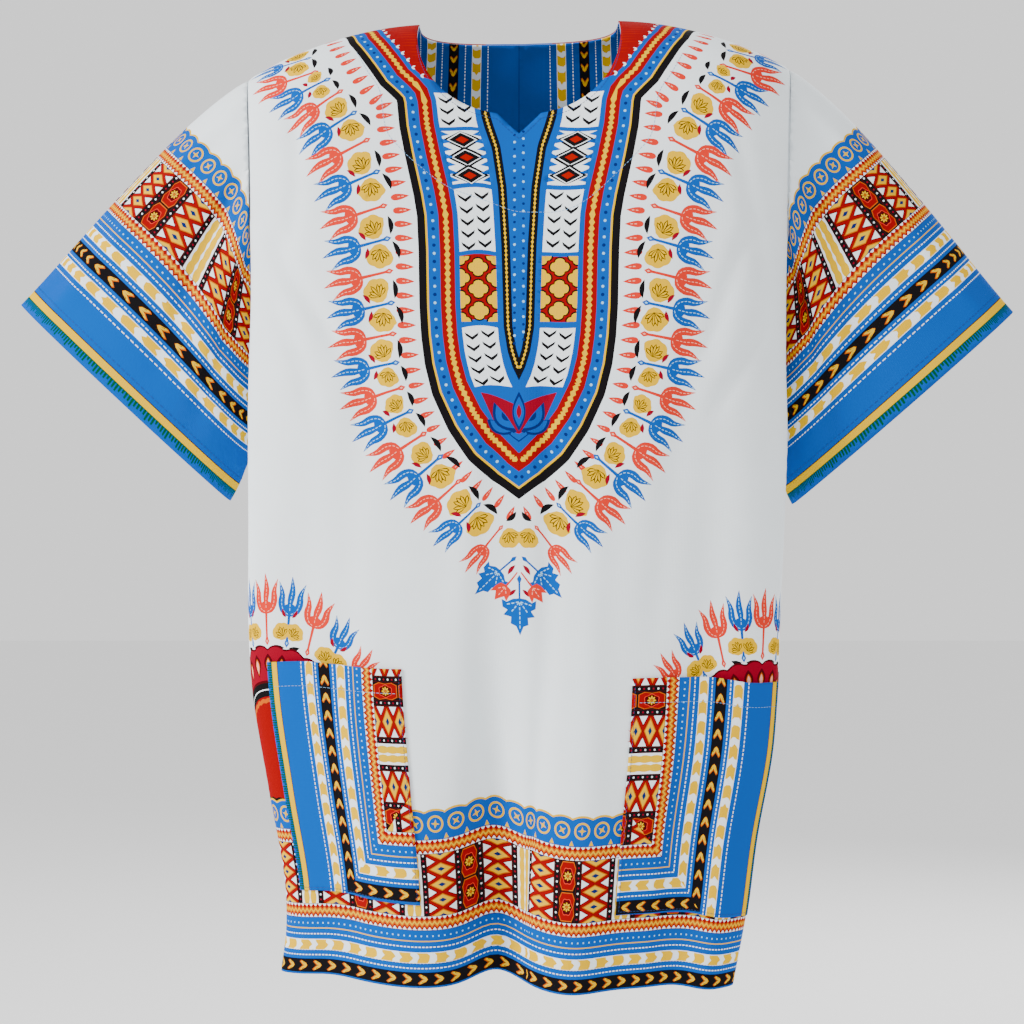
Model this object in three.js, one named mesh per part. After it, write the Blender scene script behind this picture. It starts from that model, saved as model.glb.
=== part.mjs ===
// A dashiki: a loose pull-over shirt with wide short sleeves, a slit neck and two patch pockets,
// hollow and held out as it is when worn. Millimetres, +Z up, the front faces -Y.
// The origin is midway between the shoulders, level with the top of the shoulder seams.
import * as THREE from "three";

// ---- Cloth ----
const CLOTH = 1.5; // wall of every cut piece
const FACING_CLOTH = 1.2;
const SEAM_GAP = 0.3; // between sewn pieces
const SLEEVE_GAP = 0.4; // along X, between a panel's edge and its sleeve

// ---- Body, heights below the top of the shoulder seams ----
const LENGTH = 795; // to the hem
const SHOULDER_HALF = 228; // centre to the sleeve seam, along X
const NECK_HALF = 84;
const FRONT_NECK_DEPTH = 89;
const BACK_NECK_DEPTH = 11;
const SLIT_DEPTH = 16;
const SLIT_HALF = 17;
const NECK_ROUND = 2.2; // power of the neck's oval
const SHOULDER_FADE = 150; // the shoulder's slope has faded from the rows by here
const SHOULDER_TILT = 4.5; // the right shoulder sits higher
const HEM_TILT = 15; // the right side of the hem hangs lower
// How the cloth runs out over the shoulder before it falls: power and reach of the rise, near
// the centre of each panel and beside the armholes.
const OVER = {
  front: { power: 0.75, reach: 80 },
  back: { power: 0.48, reach: 27 },
  outer: { power: 0.6, reach: 16 },
};
const HANG_REACH = 60; // the level section has taken over from the shoulder by about here
const SAG_FROM = 300; // the hem's tilt and dips begin here
const FOLD_SAG = 0.28; // how much lower the hem hangs where a fold stands out
const FOLD_END = 0.8; // folds fade out from this share across
const FOLD_FADE = 0.15;

// ---- Armhole ----
const ARM_TURN = 170; // the seam runs straight down to here, then curves to the side
const ARM_DEPTH = 235; // where it meets the side seam
const ARM_SHARE = 0.763; // how much of the half panel's width is left beside the armhole
const ARM_ROUND = 1.7; // how late it curves
const SPREAD_POWER = 3; // how much the spread keeps to the outer columns

// ---- Sleeves ----
const CUFF_HALF_THICK = 42;
const CUFF_Y = -10;
const CUFF_EASE = 0.14;
const CAP_BULGE = 0.45; // how far the cap leans outward as it leaves the seam
const CURVE_PULL = 0.8; // strength of a sleeve line's end directions
const SQUARE_CUFF = 0.4; // 0 has every line meet the cuff squarely
const FOLD_START = 0.25; // a fold is full this far along
const CUFFS = {
  left: { hand: -1, topX: 419, topZ: -239, lowX: 243, lowZ: -404 },
  right: { hand: 1, topX: 416, topZ: -245, lowX: 230, lowZ: -407 },
};

// ---- Pockets and facings, as columns and rows of the front panel ----
const POCKET_TOP = 544;
const POCKET_FOOT = 732;
const POCKET_TILT = 7; // the right pocket hangs lower
const POCKETS = {
  left: { hand: -1, inner: 0.39, outer: 0.77 },
  right: { hand: 1, inner: 0.39, outer: 0.83 },
};
const POCKET_PUFF = 3.2;
const FACING_EDGE = 0.53; // where a facing ends on the shoulder seam
const FACING_CORNER = 5; // cells cut off its lower corners
const FACING_ROWS = { front: 8, back: 6 };

const COLOURS = { cotton: 0xe9f3f6, azure: 0x0a78cc };

// A smooth curve through rows of [place, value], level past its ends.
function curve(rows) {
  const last = rows.length - 1;
  const slopes = rows.map((row, i) => {
    const before = rows[Math.max(i - 1, 0)];
    const after = rows[Math.min(i + 1, last)];
    return (after[1] - before[1]) / (after[0] - before[0]);
  });
  return (place) => {
    const at = THREE.MathUtils.clamp(place, rows[0][0], rows[last][0]);
    let i = 0;
    while (i < last - 1 && at > rows[i + 1][0]) i += 1;
    const span = rows[i + 1][0] - rows[i][0];
    const t = (at - rows[i][0]) / span;
    const rise = (1 - t) * (1 - t);
    return (
      rise * (1 + 2 * t) * rows[i][1] +
      rise * t * span * slopes[i] +
      t * t * (3 - 2 * t) * rows[i + 1][1] -
      t * t * (1 - t) * span * slopes[i + 1]
    );
  };
}

const smooth = (t) => THREE.MathUtils.smoothstep(t, 0, 1);
const mix = THREE.MathUtils.lerp;

// ---- The body's shape by depth below the shoulders ----
// Half width of the outline on each side, [depth, mm].
const OUTLINE = {
  left: curve([[150, 222], [480, 222], [565, 218], [646, 206], [718, 193], [760, 191], [795, 195]]),
  right: curve([[150, 222], [320, 220], [470, 216], [597, 209], [678, 195], [737, 187], [795, 176]]),
};
// The side seam lies in from the outline, in a fold that holds the sleeve's lower edge.
const SIDE_SEAM = curve([[235, 190], [300, 184], [390, 183], [470, 191], [560, 200], [680, 180], [795, 168]]);
const FRONT_DEPTH = curve([[100, 125], [250, 124], [400, 119], [550, 118], [700, 122], [795, 125]]);
const BACK_DEPTH = curve([[100, 124], [220, 120], [400, 101], [550, 98], [700, 106], [795, 110]]);
const RIDGE_DEPTH = curve([[45, 58], [170, 58], [235, 62], [400, 64], [560, 68], [795, 72]]);
// Shoulder seam height by share of its half length.
const SHOULDER = curve([[0, 3], [0.37, 0], [0.5, -3], [0.64, -10], [0.76, -19], [0.88, -30], [1, -44]]);

// The level section of half a panel by share of its cloth, from the centre to the side seam:
// share of the outline's half width, of the step in to the seam, and of the two depths.
const ACROSS = curve([[0, 0], [0.29, 0.42], [0.55, 0.78], [0.7, 0.965], [0.775, 1], [0.885, 1], [1, 1]]);
const STEP_IN = curve([[0, 0], [0.7, 0], [0.775, 0], [0.885, 0.36], [1, 1]]);
const CROWN = curve([[0, 1], [0.29, 0.966], [0.55, 0.707], [0.7, 0.31], [0.775, 0], [0.885, 0], [1, 0]]);
const FLANK = curve([[0, 1], [0.55, 1], [0.7, 1], [0.775, 1], [0.885, 0.42], [1, 0]]);

// Folds: share across at the hem, half width as a share, how far out (or in) they
// stand, and the depths where they begin and are full.
const FOLDS = {
  front: [
    { across: -0.065, half: 0.085, out: -31, from: 400, full: 795 },
    { across: 0.16, half: 0.12, out: 15, from: 430, full: 795 },
    { across: -0.3, half: 0.15, out: 10, from: 480, full: 795 },
    { across: 0.5, half: 0.09, out: -7, from: 250, full: 420 },
    { across: -0.55, half: 0.09, out: -7, from: 250, full: 460 },
    { across: 0.62, half: 0.08, out: 6, from: 600, full: 795 },
  ],
  back: [
    { across: -0.36, half: 0.12, out: 12, from: 380, full: 795 },
    { across: -0.13, half: 0.1, out: -18, from: 330, full: 795 },
    { across: 0.13, half: 0.11, out: 11, from: 420, full: 795 },
    { across: 0.4, half: 0.1, out: -16, from: 300, full: 795 },
    { across: 0.62, half: 0.09, out: 8, from: 450, full: 795 },
    { across: -0.62, half: 0.09, out: -9, from: 420, full: 795 },
  ],
};
// Where a fold's steep flank takes up cloth: place, half width and share taken at the hem.
const TUCKS = {
  front: { at: 0.025, half: 0.05, take: 0.055, from: 420 },
  back: { at: -0.04, half: 0.07, take: 0.05, from: 420 },
};

// Cloth moved along the section, so that a steep flank holds more of it.
function tucked(side, share, depth) {
  const tuck = TUCKS[side];
  const take = tuck.take * smooth((depth - tuck.from) / (LENGTH - tuck.from));
  const step = smooth((share - tuck.at) / (2 * tuck.half) + 0.5) - 0.5;
  return (share - take * step) / (1 - take / 2);
}

// Share of the half panel's cloth at a column. Below the armhole the outer columns spread
// out to the side seam.
function shareAt(across, depth) {
  const turn = THREE.MathUtils.clamp((depth - ARM_TURN) / (ARM_DEPTH - ARM_TURN), 0, 1);
  const spread = (1 - ARM_SHARE) * turn ** ARM_ROUND;
  return across * (ARM_SHARE + spread * Math.abs(across) ** SPREAD_POWER);
}

function foldsAt(side, share, depth) {
  let out = 0;
  for (const fold of FOLDS[side]) {
    const away = (share - fold.across) / fold.half;
    out += fold.out * Math.exp(-away * away) * smooth((depth - fold.from) / (fold.full - fold.from));
  }
  return out * (1 - smooth((Math.abs(share) - FOLD_END) / FOLD_FADE));
}

// A point of a panel's outer face. across runs from -1 to 1 between the sleeve or side seams,
// and drop is how far down the cloth's row lies below the shoulder seam.
function bodyPoint(side, across, drop) {
  const way = side === "front" ? -1 : 1;
  const far = Math.abs(across);
  const tip = SHOULDER(far) + SHOULDER_TILT * across;
  const depth = drop - tip * (1 - smooth(drop / SHOULDER_FADE));
  const share = tucked(side, shareAt(across, depth), depth);
  const reach = Math.abs(share);
  const hand = share < 0 ? -1 : 1;
  const outline = (hand < 0 ? OUTLINE.left : OUTLINE.right)(depth);
  const section = outline * ACROSS(reach) - (outline - SIDE_SEAM(depth)) * STEP_IN(reach);
  const crown = (side === "front" ? FRONT_DEPTH : BACK_DEPTH)(depth);
  const ridge = RIDGE_DEPTH(depth);
  const full = (crown - ridge) * CROWN(reach) + ridge * FLANK(reach);
  // Below the seam the cloth first runs out over the shoulder, then down.
  const fall = Math.max(depth + tip, 0);
  const outer = smooth(reach / ARM_SHARE);
  const power = mix(OVER[side].power, OVER.outer.power, outer);
  const reachDown = mix(OVER[side].reach, OVER.outer.reach, outer);
  const over = 1 - Math.exp(-Math.pow(fall / reachDown, power));
  const hung = 1 - Math.exp(-fall / HANG_REACH);
  const folds = foldsAt(side, share, depth);
  const y = full * over + folds * hung + SEAM_GAP / 2;
  const low = smooth((depth - SAG_FROM) / (LENGTH - SAG_FROM));
  const sag = (0.5 * HEM_TILT * share + FOLD_SAG * folds) * low;
  return new THREE.Vector3(hand * mix(SHOULDER_HALF * far, section, hung), way * y, -depth - sag);
}

// The outward normal there. At a seam between front and back it has no Y part, so that
// the two walls end face to face.
function bodyNormal(side, across, drop) {
  const step = 0.002;
  const left = bodyPoint(side, Math.max(across - step, -1), drop);
  const right = bodyPoint(side, Math.min(across + step, 1), drop);
  const above = bodyPoint(side, across, Math.max(drop - 0.5, 0));
  const below = bodyPoint(side, across, drop + 0.5);
  const normal = right.sub(left).cross(above.sub(below));
  if (side === "back") normal.negate();
  const onSide = Math.abs(across) === 1 && drop >= ARM_DEPTH;
  if (drop === 0 || onSide) normal.y = 0;
  return normal.normalize();
}

// ---- Grid of each panel ----
const HALF_COLUMNS = [0.036, 0.075, 0.13, 0.2, 0.27, 0.325, 0.354, 0.368, 0.39, 0.46, FACING_EDGE, 0.6,
  0.67, 0.72, 0.77, 0.83, 0.87, 0.905, 0.94, 0.97, 1];
const COLUMNS = [...HALF_COLUMNS.map((c) => -c).reverse(), 0, ...HALF_COLUMNS];
const NECK_COLUMN = NECK_HALF / SHOULDER_HALF;
const NECK_BLEND = 182; // rows are level from this one
const TILT_FROM = 300; // and lean to the pockets' tilt from here

const ROWS = [0, 5, 14, 28, 48, 75, 105, 135, 160, NECK_BLEND, 200, 214, 226, ARM_DEPTH, 275, 330, 385,
  440, 492, POCKET_TOP, 590, 638, 686, POCKET_FOOT, 765, LENGTH];

// Depth of the neck's edge below the shoulder seam, by column.
function neckEdge(side, across) {
  const far = Math.abs(across) / NECK_COLUMN;
  if (far >= 1) return 0;
  const round = Math.pow(1 - Math.pow(far, NECK_ROUND), 1 / NECK_ROUND);
  if (side === "back") return BACK_NECK_DEPTH * round;
  const slit = Math.max(0, 1 - (Math.abs(across) * SHOULDER_HALF) / SLIT_HALF);
  return FRONT_NECK_DEPTH * round + SLIT_DEPTH * slit;
}

function dropAt(side, across, row) {
  const neck = neckEdge(side, across);
  if (row < NECK_BLEND) return neck + row * (1 - neck / NECK_BLEND);
  const fadeIn = smooth((row - TILT_FROM) / (POCKET_TOP - TILT_FROM));
  const fadeOut = 1 - smooth((row - POCKET_FOOT) / (LENGTH - POCKET_FOOT));
  return row + POCKET_TILT * across * fadeIn * fadeOut;
}

function panelGrid(side) {
  return ROWS.map((row) =>
    COLUMNS.map((across) => {
      const drop = dropAt(side, across, row);
      return { point: bodyPoint(side, across, drop), normal: bodyNormal(side, across, drop) };
    }),
  );
}

// ---- Solids ----
// A closed wall between two faces of the same triangles, with a rim round every edge.
function wallGeometry(outer, inner, triangles) {
  const edges = new Map();
  for (const [a, b, c] of triangles) {
    for (const [from, to] of [[a, b], [b, c], [c, a]]) {
      const back = `${to},${from}`;
      if (edges.has(back)) edges.delete(back);
      else edges.set(`${from},${to}`, [from, to]);
    }
  }
  const used = [...new Set(triangles.flat())];
  const place = new Map(used.map((v, i) => [v, i]));
  const count = used.length;
  const index = [];
  for (const [a, b, c] of triangles) {
    const [i, j, k] = [place.get(a), place.get(b), place.get(c)];
    index.push(i, j, k, i + count, k + count, j + count);
  }
  for (const [from, to] of edges.values()) {
    const [i, j] = [place.get(from), place.get(to)];
    index.push(j, i, i + count, j, i + count, j + count);
  }
  const points = [...used.map((v) => outer[v]), ...used.map((v) => inner[v])];
  let volume = 0;
  for (let i = 0; i < index.length; i += 3) {
    const [a, b, c] = [points[index[i]], points[index[i + 1]], points[index[i + 2]]];
    volume += a.dot(b.clone().cross(c));
  }
  if (volume < 0) {
    for (let i = 0; i < index.length; i += 3) {
      [index[i + 1], index[i + 2]] = [index[i + 2], index[i + 1]];
    }
  }
  const geometry = new THREE.BufferGeometry().setFromPoints(points);
  geometry.setIndex(index);
  geometry.computeVertexNormals();
  return geometry;
}

// Triangles of a grid's cells, where keep says which of a cell's two halves to use.
function gridTriangles(rows, columns, keep = () => [true, true], round = false) {
  const triangles = [];
  for (let r = 0; r + 1 < rows; r += 1) {
    for (let c = 0; c < (round ? columns : columns - 1); c += 1) {
      const next = (c + 1) % columns;
      const [a, b] = [r * columns + c, r * columns + next];
      const [d, e] = [a + columns, b + columns];
      // The first half is the one towards the top and the middle.
      const leftward = c < (columns - 1) / 2;
      const [first, second] = leftward ? [[a, e, b], [a, d, e]] : [[a, d, b], [b, d, e]];
      const [one, two] = keep(r, c);
      if (one) triangles.push(first);
      if (two) triangles.push(second);
    }
  }
  return triangles;
}

function cloth(name, geometry, colour) {
  const material = new THREE.MeshStandardMaterial({ color: colour, roughness: 0.85, metalness: 0 });
  const mesh = new THREE.Mesh(geometry, material);
  mesh.name = name;
  return mesh;
}

// A wall whose faces lie at two distances out from a panel's grid.
function layer(grid, farOut, nearIn, keep) {
  const flat = grid.flat();
  const away = (distance) =>
    flat.map((cell, i) => cell.point.clone().addScaledVector(cell.normal, distance(i)));
  return wallGeometry(away(farOut), away(nearIn), gridTriangles(ROWS.length, COLUMNS.length, keep));
}

function panel(side, grid) {
  return cloth(side, layer(grid, () => 0, () => -CLOTH), COLOURS.cotton);
}

// A facing lies inside the neck. Its lower corners are cut off along the cells' diagonals.
function facing(side, grid) {
  const middle = (COLUMNS.length - 1) / 2;
  const keep = (r, c) => {
    const far = c < middle ? -COLUMNS[c] : COLUMNS[c + 1];
    if (far > FACING_EDGE || r >= FACING_ROWS[side]) return [false, false];
    const cellsIn = HALF_COLUMNS.indexOf(FACING_EDGE) - HALF_COLUMNS.indexOf(far);
    const cut = FACING_ROWS[side] - FACING_CORNER + cellsIn;
    return [r <= cut, r < cut];
  };
  const top = CLOTH + SEAM_GAP;
  const geometry = layer(grid, () => -top, () => -top - FACING_CLOTH, keep);
  return cloth(`neck_facing_${side}`, geometry, COLOURS.azure);
}

// A patch pocket lies on the front panel and puffs out a little towards its mouth.
function pocket(name, { hand, inner, outer }, grid) {
  const [top, foot] = [ROWS.indexOf(POCKET_TOP), ROWS.indexOf(POCKET_FOOT)];
  const ends = [COLUMNS.indexOf(hand * inner), COLUMNS.indexOf(hand * outer)];
  const [from, to] = [Math.min(...ends), Math.max(...ends)];
  const keep = (r, c) => {
    const inside = r >= top && r < foot && c >= from && c < to;
    return [inside, inside];
  };
  const lift = (i) => {
    const row = ROWS[Math.floor(i / COLUMNS.length)];
    const far = Math.abs(COLUMNS[i % COLUMNS.length]);
    const wide = THREE.MathUtils.clamp((far - inner) / (outer - inner), 0, 1);
    const high = (POCKET_FOOT - row) / (POCKET_FOOT - POCKET_TOP);
    return SEAM_GAP + POCKET_PUFF * Math.sin(Math.PI * wide) * smooth(high);
  };
  return cloth(name, layer(grid, (i) => lift(i) + CLOTH, lift, keep), COLOURS.azure);
}

// ---- Sleeves ----
const SLEEVE_ROWS = [0, 0.07, 0.18, 0.31, 0.45, 0.6, 0.76, 0.9, 1];
// Folds of a sleeve: place round the tube from the underarm seam, half width, depth and reach.
const SLEEVE_FOLDS = [
  { around: 0.25, half: 0.045, out: -11, reach: 0.8 },
  { around: 0.155, half: 0.04, out: -7, reach: 0.6 },
  { around: 0.36, half: 0.04, out: -4, reach: 0.7 },
  { around: 0.74, half: 0.05, out: -9, reach: 0.75 },
  { around: 0.85, half: 0.04, out: -7, reach: 0.6 },
];

// The armhole's edge, from the underarm up the front, over the shoulder and down the back.
function armhole(hand, grids) {
  const column = hand < 0 ? 0 : COLUMNS.length - 1;
  const last = ROWS.indexOf(ARM_DEPTH);
  const edge = (grid) => grid.slice(0, last + 1).map((row) => row[column].point);
  const loop = [...edge(grids.front).reverse(), ...edge(grids.back).slice(1, -1)];
  // The front and back meet on the shoulder and at the underarm, where one point serves both.
  for (const i of [0, last]) loop[i] = loop[i].clone().setY(0);
  return loop;
}

// Share of a loop's length at each of its points, with its middle point at a half.
function loopShares(loop, middle) {
  const lengths = [0];
  loop.forEach((point, i) => lengths.push(lengths[i] + point.distanceTo(loop[(i + 1) % loop.length])));
  const [half, whole] = [lengths[middle], lengths[loop.length]];
  return loop.map((_, i) =>
    i <= middle ? (0.5 * lengths[i]) / half : 0.5 + (0.5 * (lengths[i] - half)) / (whole - half),
  );
}

// A point of the cuff: an oval from the low corner round the front to the top corner and back.
// The angle is eased so that the points lie about evenly along it.
function cuffPoint(cuff, around) {
  const angle = 2 * Math.PI * around - CUFF_EASE * Math.sin(4 * Math.PI * around);
  const up = 0.5 - 0.5 * Math.cos(angle);
  return new THREE.Vector3(
    cuff.hand * mix(cuff.lowX, cuff.topX, up),
    CUFF_Y - CUFF_HALF_THICK * Math.sin(angle),
    mix(cuff.lowZ, cuff.topZ, up),
  );
}

// How far a sleeve's folds move the cloth out there.
function sleeveFolds(around, along) {
  let out = 0;
  for (const fold of SLEEVE_FOLDS) {
    const away = (around - fold.around) / fold.half;
    out += fold.out * Math.exp(-away * away) * (1 - smooth(along / fold.reach));
  }
  return out * smooth(along / FOLD_START);
}

// A point of a sleeve's outer face, on a cubic from the armhole's point start to the cuff.
function sleevePoint(start, cuff, around, along) {
  const end = cuffPoint(cuff, around);
  const straight = end.clone().sub(start);
  const size = straight.length();
  const high = Math.abs(Math.sin(Math.PI * around));
  const leave = straight.clone().normalize();
  leave.x += cuff.hand * CAP_BULGE * high;
  leave.setLength(size * CURVE_PULL);
  const square = new THREE.Vector3(cuff.hand * (cuff.topZ - cuff.lowZ), 0, cuff.lowX - cuff.topX);
  const arrive = square.normalize().lerp(straight.normalize(), SQUARE_CUFF).setLength(size * CURVE_PULL);
  const rest = 1 - along;
  const point = start.clone().multiplyScalar(rest * rest * (1 + 2 * along));
  point.addScaledVector(leave, rest * rest * along);
  point.addScaledVector(end, along * along * (1 + 2 * rest));
  point.addScaledVector(arrive, -along * along * rest);
  const face = Math.sign(Math.sin(2 * Math.PI * around));
  point.y -= face * sleeveFolds(around, along);
  return point;
}

function sleeve(name, cuff, grids) {
  const loop = armhole(cuff.hand, grids);
  const middle = ROWS.indexOf(ARM_DEPTH);
  const shares = loopShares(loop, middle);
  const rows = SLEEVE_ROWS.map((along) =>
    loop.map((edge, i) => {
      const start = edge.clone();
      start.x += cuff.hand * SLEEVE_GAP;
      return sleevePoint(start, cuff, shares[i], along);
    }),
  );
  const count = loop.length;
  const outer = rows.flat();
  const inner = rows.flatMap((row, r) =>
    row.map((point, i) => {
      const round = row[(i + 1) % count].clone().sub(row[(i + count - 1) % count]);
      const down = rows[Math.min(r + 1, rows.length - 1)][i].clone().sub(rows[Math.max(r - 1, 0)][i]);
      const inward = round.cross(down).normalize().multiplyScalar(cuff.hand * CLOTH);
      return point.clone().add(inward);
    }),
  );
  const triangles = gridTriangles(rows.length, count, () => [true, true], true);
  return cloth(name, wallGeometry(outer, inner, triangles), COLOURS.azure);
}

// ---- The garment ----
const garment = new THREE.Group();
const grids = { front: panelGrid("front"), back: panelGrid("back") };
garment.add(panel("front", grids.front));
garment.add(panel("back", grids.back));
garment.add(sleeve("sleeve_left", CUFFS.left, grids));
garment.add(sleeve("sleeve_right", CUFFS.right, grids));
garment.add(pocket("pocket_left", POCKETS.left, grids.front));
garment.add(pocket("pocket_right", POCKETS.right, grids.front));
garment.add(facing("front", grids.front));
garment.add(facing("back", grids.back));

export default garment;
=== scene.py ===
"""The dashiki's looks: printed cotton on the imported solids' form. Flat sizes in mm, scene in metres."""
import math

import bpy
import numpy as np
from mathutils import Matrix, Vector
from mathutils.geometry import delaunay_2d_cdt


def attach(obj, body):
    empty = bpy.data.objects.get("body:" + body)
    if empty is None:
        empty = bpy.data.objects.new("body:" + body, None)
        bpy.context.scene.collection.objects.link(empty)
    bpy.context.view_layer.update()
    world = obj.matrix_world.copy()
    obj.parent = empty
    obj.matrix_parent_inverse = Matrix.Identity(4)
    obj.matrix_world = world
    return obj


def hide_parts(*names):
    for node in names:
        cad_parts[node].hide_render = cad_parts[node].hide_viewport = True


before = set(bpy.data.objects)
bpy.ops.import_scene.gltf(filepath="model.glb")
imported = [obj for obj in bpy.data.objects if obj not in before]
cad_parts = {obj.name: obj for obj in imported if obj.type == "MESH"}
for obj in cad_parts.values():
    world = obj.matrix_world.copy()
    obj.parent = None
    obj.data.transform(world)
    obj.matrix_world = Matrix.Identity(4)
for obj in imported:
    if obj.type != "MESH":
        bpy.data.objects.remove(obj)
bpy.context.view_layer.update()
MM = 0.001


# ---- Small helpers ----
def smooth(t):
    t = np.clip(t, 0, 1)
    return t * t * (3 - 2 * t)


def unit(v):
    return v / np.maximum(np.linalg.norm(v, axis=-1, keepdims=True), 1e-12)


def left_of(v):
    """A flat vector turned a quarter turn to the left."""
    return np.stack([-v[..., 1], v[..., 0]], -1)


def spun(points, angle):
    c, s = math.cos(angle), math.sin(angle)
    return points @ np.array([[c, s], [-s, c]])


def curve(rows):
    """A smooth curve through rows of (place, value), level past its ends."""
    x, y = (np.array(c, float) for c in zip(*rows))
    last = len(x) - 1
    before, after = np.maximum(np.arange(last + 1) - 1, 0), np.minimum(np.arange(last + 1) + 1, last)
    slope = (y[after] - y[before]) / (x[after] - x[before])

    def at(place):
        p = np.clip(np.asarray(place, float), x[0], x[-1])
        i = np.clip(np.searchsorted(x, p) - 1, 0, last - 1)
        span = x[i + 1] - x[i]
        t = (p - x[i]) / span
        rise = (1 - t) ** 2
        return (rise * (1 + 2 * t) * y[i] + rise * t * span * slope[i]
                + t * t * (3 - 2 * t) * y[i + 1] - t * t * (1 - t) * span * slope[i + 1])

    return at


def lengths(line):
    """How far along a line each of its points lies."""
    return np.concatenate([[0], np.cumsum(np.linalg.norm(np.diff(line, axis=0), axis=1))])


def spots_on(line, reach, at):
    """Points of a line at places along it. reach is where its own points lie."""
    return np.stack([np.interp(at, reach, column) for column in line.T], -1)


def resampled(points, step):
    reach = lengths(points)
    count = max(int(round(reach[-1] / step)), 2)
    return spots_on(points, reach, np.linspace(0, reach[-1], count + 1))


def offset_curve(points, amount):
    """The line moved to its right."""
    return points - left_of(unit(np.gradient(points, axis=0))) * np.asarray(amount).reshape(-1, 1)


# ---- The body's form, as the solids have it (mm, heights below the shoulder seams) ----
LENGTH = 795
SHOULDER_HALF = 228
NECK_HALF = 84
NECK_COLUMN = NECK_HALF / SHOULDER_HALF
FRONT_NECK_DEPTH, BACK_NECK_DEPTH, NECK_ROUND = 89, 11, 2.2
SLIT_DEPTH, SLIT_HALF = 16, 17
SHOULDER_FADE, SHOULDER_TILT, HEM_TILT = 150, 4.5, 15
HANG_REACH, SAG_FROM, FOLD_SAG, FOLD_END, FOLD_FADE = 60, 300, 0.28, 0.8, 0.15
SEAM_GAP = 0.3
ARM_TURN, ARM_DEPTH, ARM_SHARE, ARM_ROUND, SPREAD_POWER = 170, 235, 0.763, 1.7, 3

OUTLINE_LEFT = curve([(150, 222), (480, 222), (565, 218), (646, 206), (718, 193), (760, 191), (795, 195)])
OUTLINE_RIGHT = curve([(150, 222), (320, 220), (470, 216), (597, 209), (678, 195), (737, 187), (795, 176)])
SIDE_SEAM = curve([(235, 190), (300, 184), (390, 183), (470, 191), (560, 200), (680, 180), (795, 168)])
CROWN_DEPTH = {
    "front": curve([(100, 125), (250, 124), (400, 119), (550, 118), (700, 122), (795, 125)]),
    "back": curve([(100, 124), (220, 120), (400, 101), (550, 98), (700, 106), (795, 110)]),
}
RIDGE_DEPTH = curve([(45, 58), (170, 58), (235, 62), (400, 64), (560, 68), (795, 72)])
SHOULDER = curve([(0, 3), (0.37, 0), (0.5, -3), (0.64, -10), (0.76, -19), (0.88, -30), (1, -44)])
ACROSS = curve([(0, 0), (0.29, 0.42), (0.55, 0.78), (0.7, 0.965), (0.775, 1), (0.885, 1), (1, 1)])
STEP_IN = curve([(0, 0), (0.7, 0), (0.775, 0), (0.885, 0.36), (1, 1)])
CROWN = curve([(0, 1), (0.29, 0.966), (0.55, 0.707), (0.7, 0.31), (0.775, 0), (0.885, 0), (1, 0)])
FLANK = curve([(0, 1), (0.55, 1), (0.7, 1), (0.775, 1), (0.885, 0.42), (1, 0)])
# Folds: share across, half width, how far out, the depths where they begin and are full.
FOLDS = {
    "front": [(-0.065, 0.085, -31, 400, 795), (0.16, 0.12, 15, 430, 795), (-0.3, 0.15, 10, 480, 795),
              (0.5, 0.09, -7, 250, 420), (-0.55, 0.09, -7, 250, 460), (0.62, 0.08, 6, 600, 795)],
    "back": [(-0.36, 0.12, 12, 380, 795), (-0.13, 0.1, -18, 330, 795), (0.13, 0.11, 11, 420, 795),
             (0.4, 0.1, -16, 300, 795), (0.62, 0.09, 8, 450, 795), (-0.62, 0.09, -9, 420, 795)],
}
TUCKS = {"front": (0.025, 0.05, 0.055, 420), "back": (-0.04, 0.07, 0.05, 420)}
OVER = {"front": (0.75, 80), "back": (0.48, 27), "outer": (0.6, 16)}


def depth_of(across, drop):
    """The depth of a cloth point, and the shoulder seam's height at its column."""
    tip = SHOULDER(np.abs(across)) + SHOULDER_TILT * across
    return drop - tip * (1 - smooth(drop / SHOULDER_FADE)), tip


def share_at(across, depth):
    """The share of the half panel's cloth at a column."""
    turn = np.clip((depth - ARM_TURN) / (ARM_DEPTH - ARM_TURN), 0, 1)
    return across * (ARM_SHARE + (1 - ARM_SHARE) * turn**ARM_ROUND * np.abs(across) ** SPREAD_POWER)


def folds_at(side, share, depth):
    out = sum(o * np.exp(-(((share - c) / half) ** 2)) * smooth((depth - start) / (full - start))
              for c, half, o, start, full in FOLDS[side])
    return out * (1 - smooth((np.abs(share) - FOLD_END) / FOLD_FADE))


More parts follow.
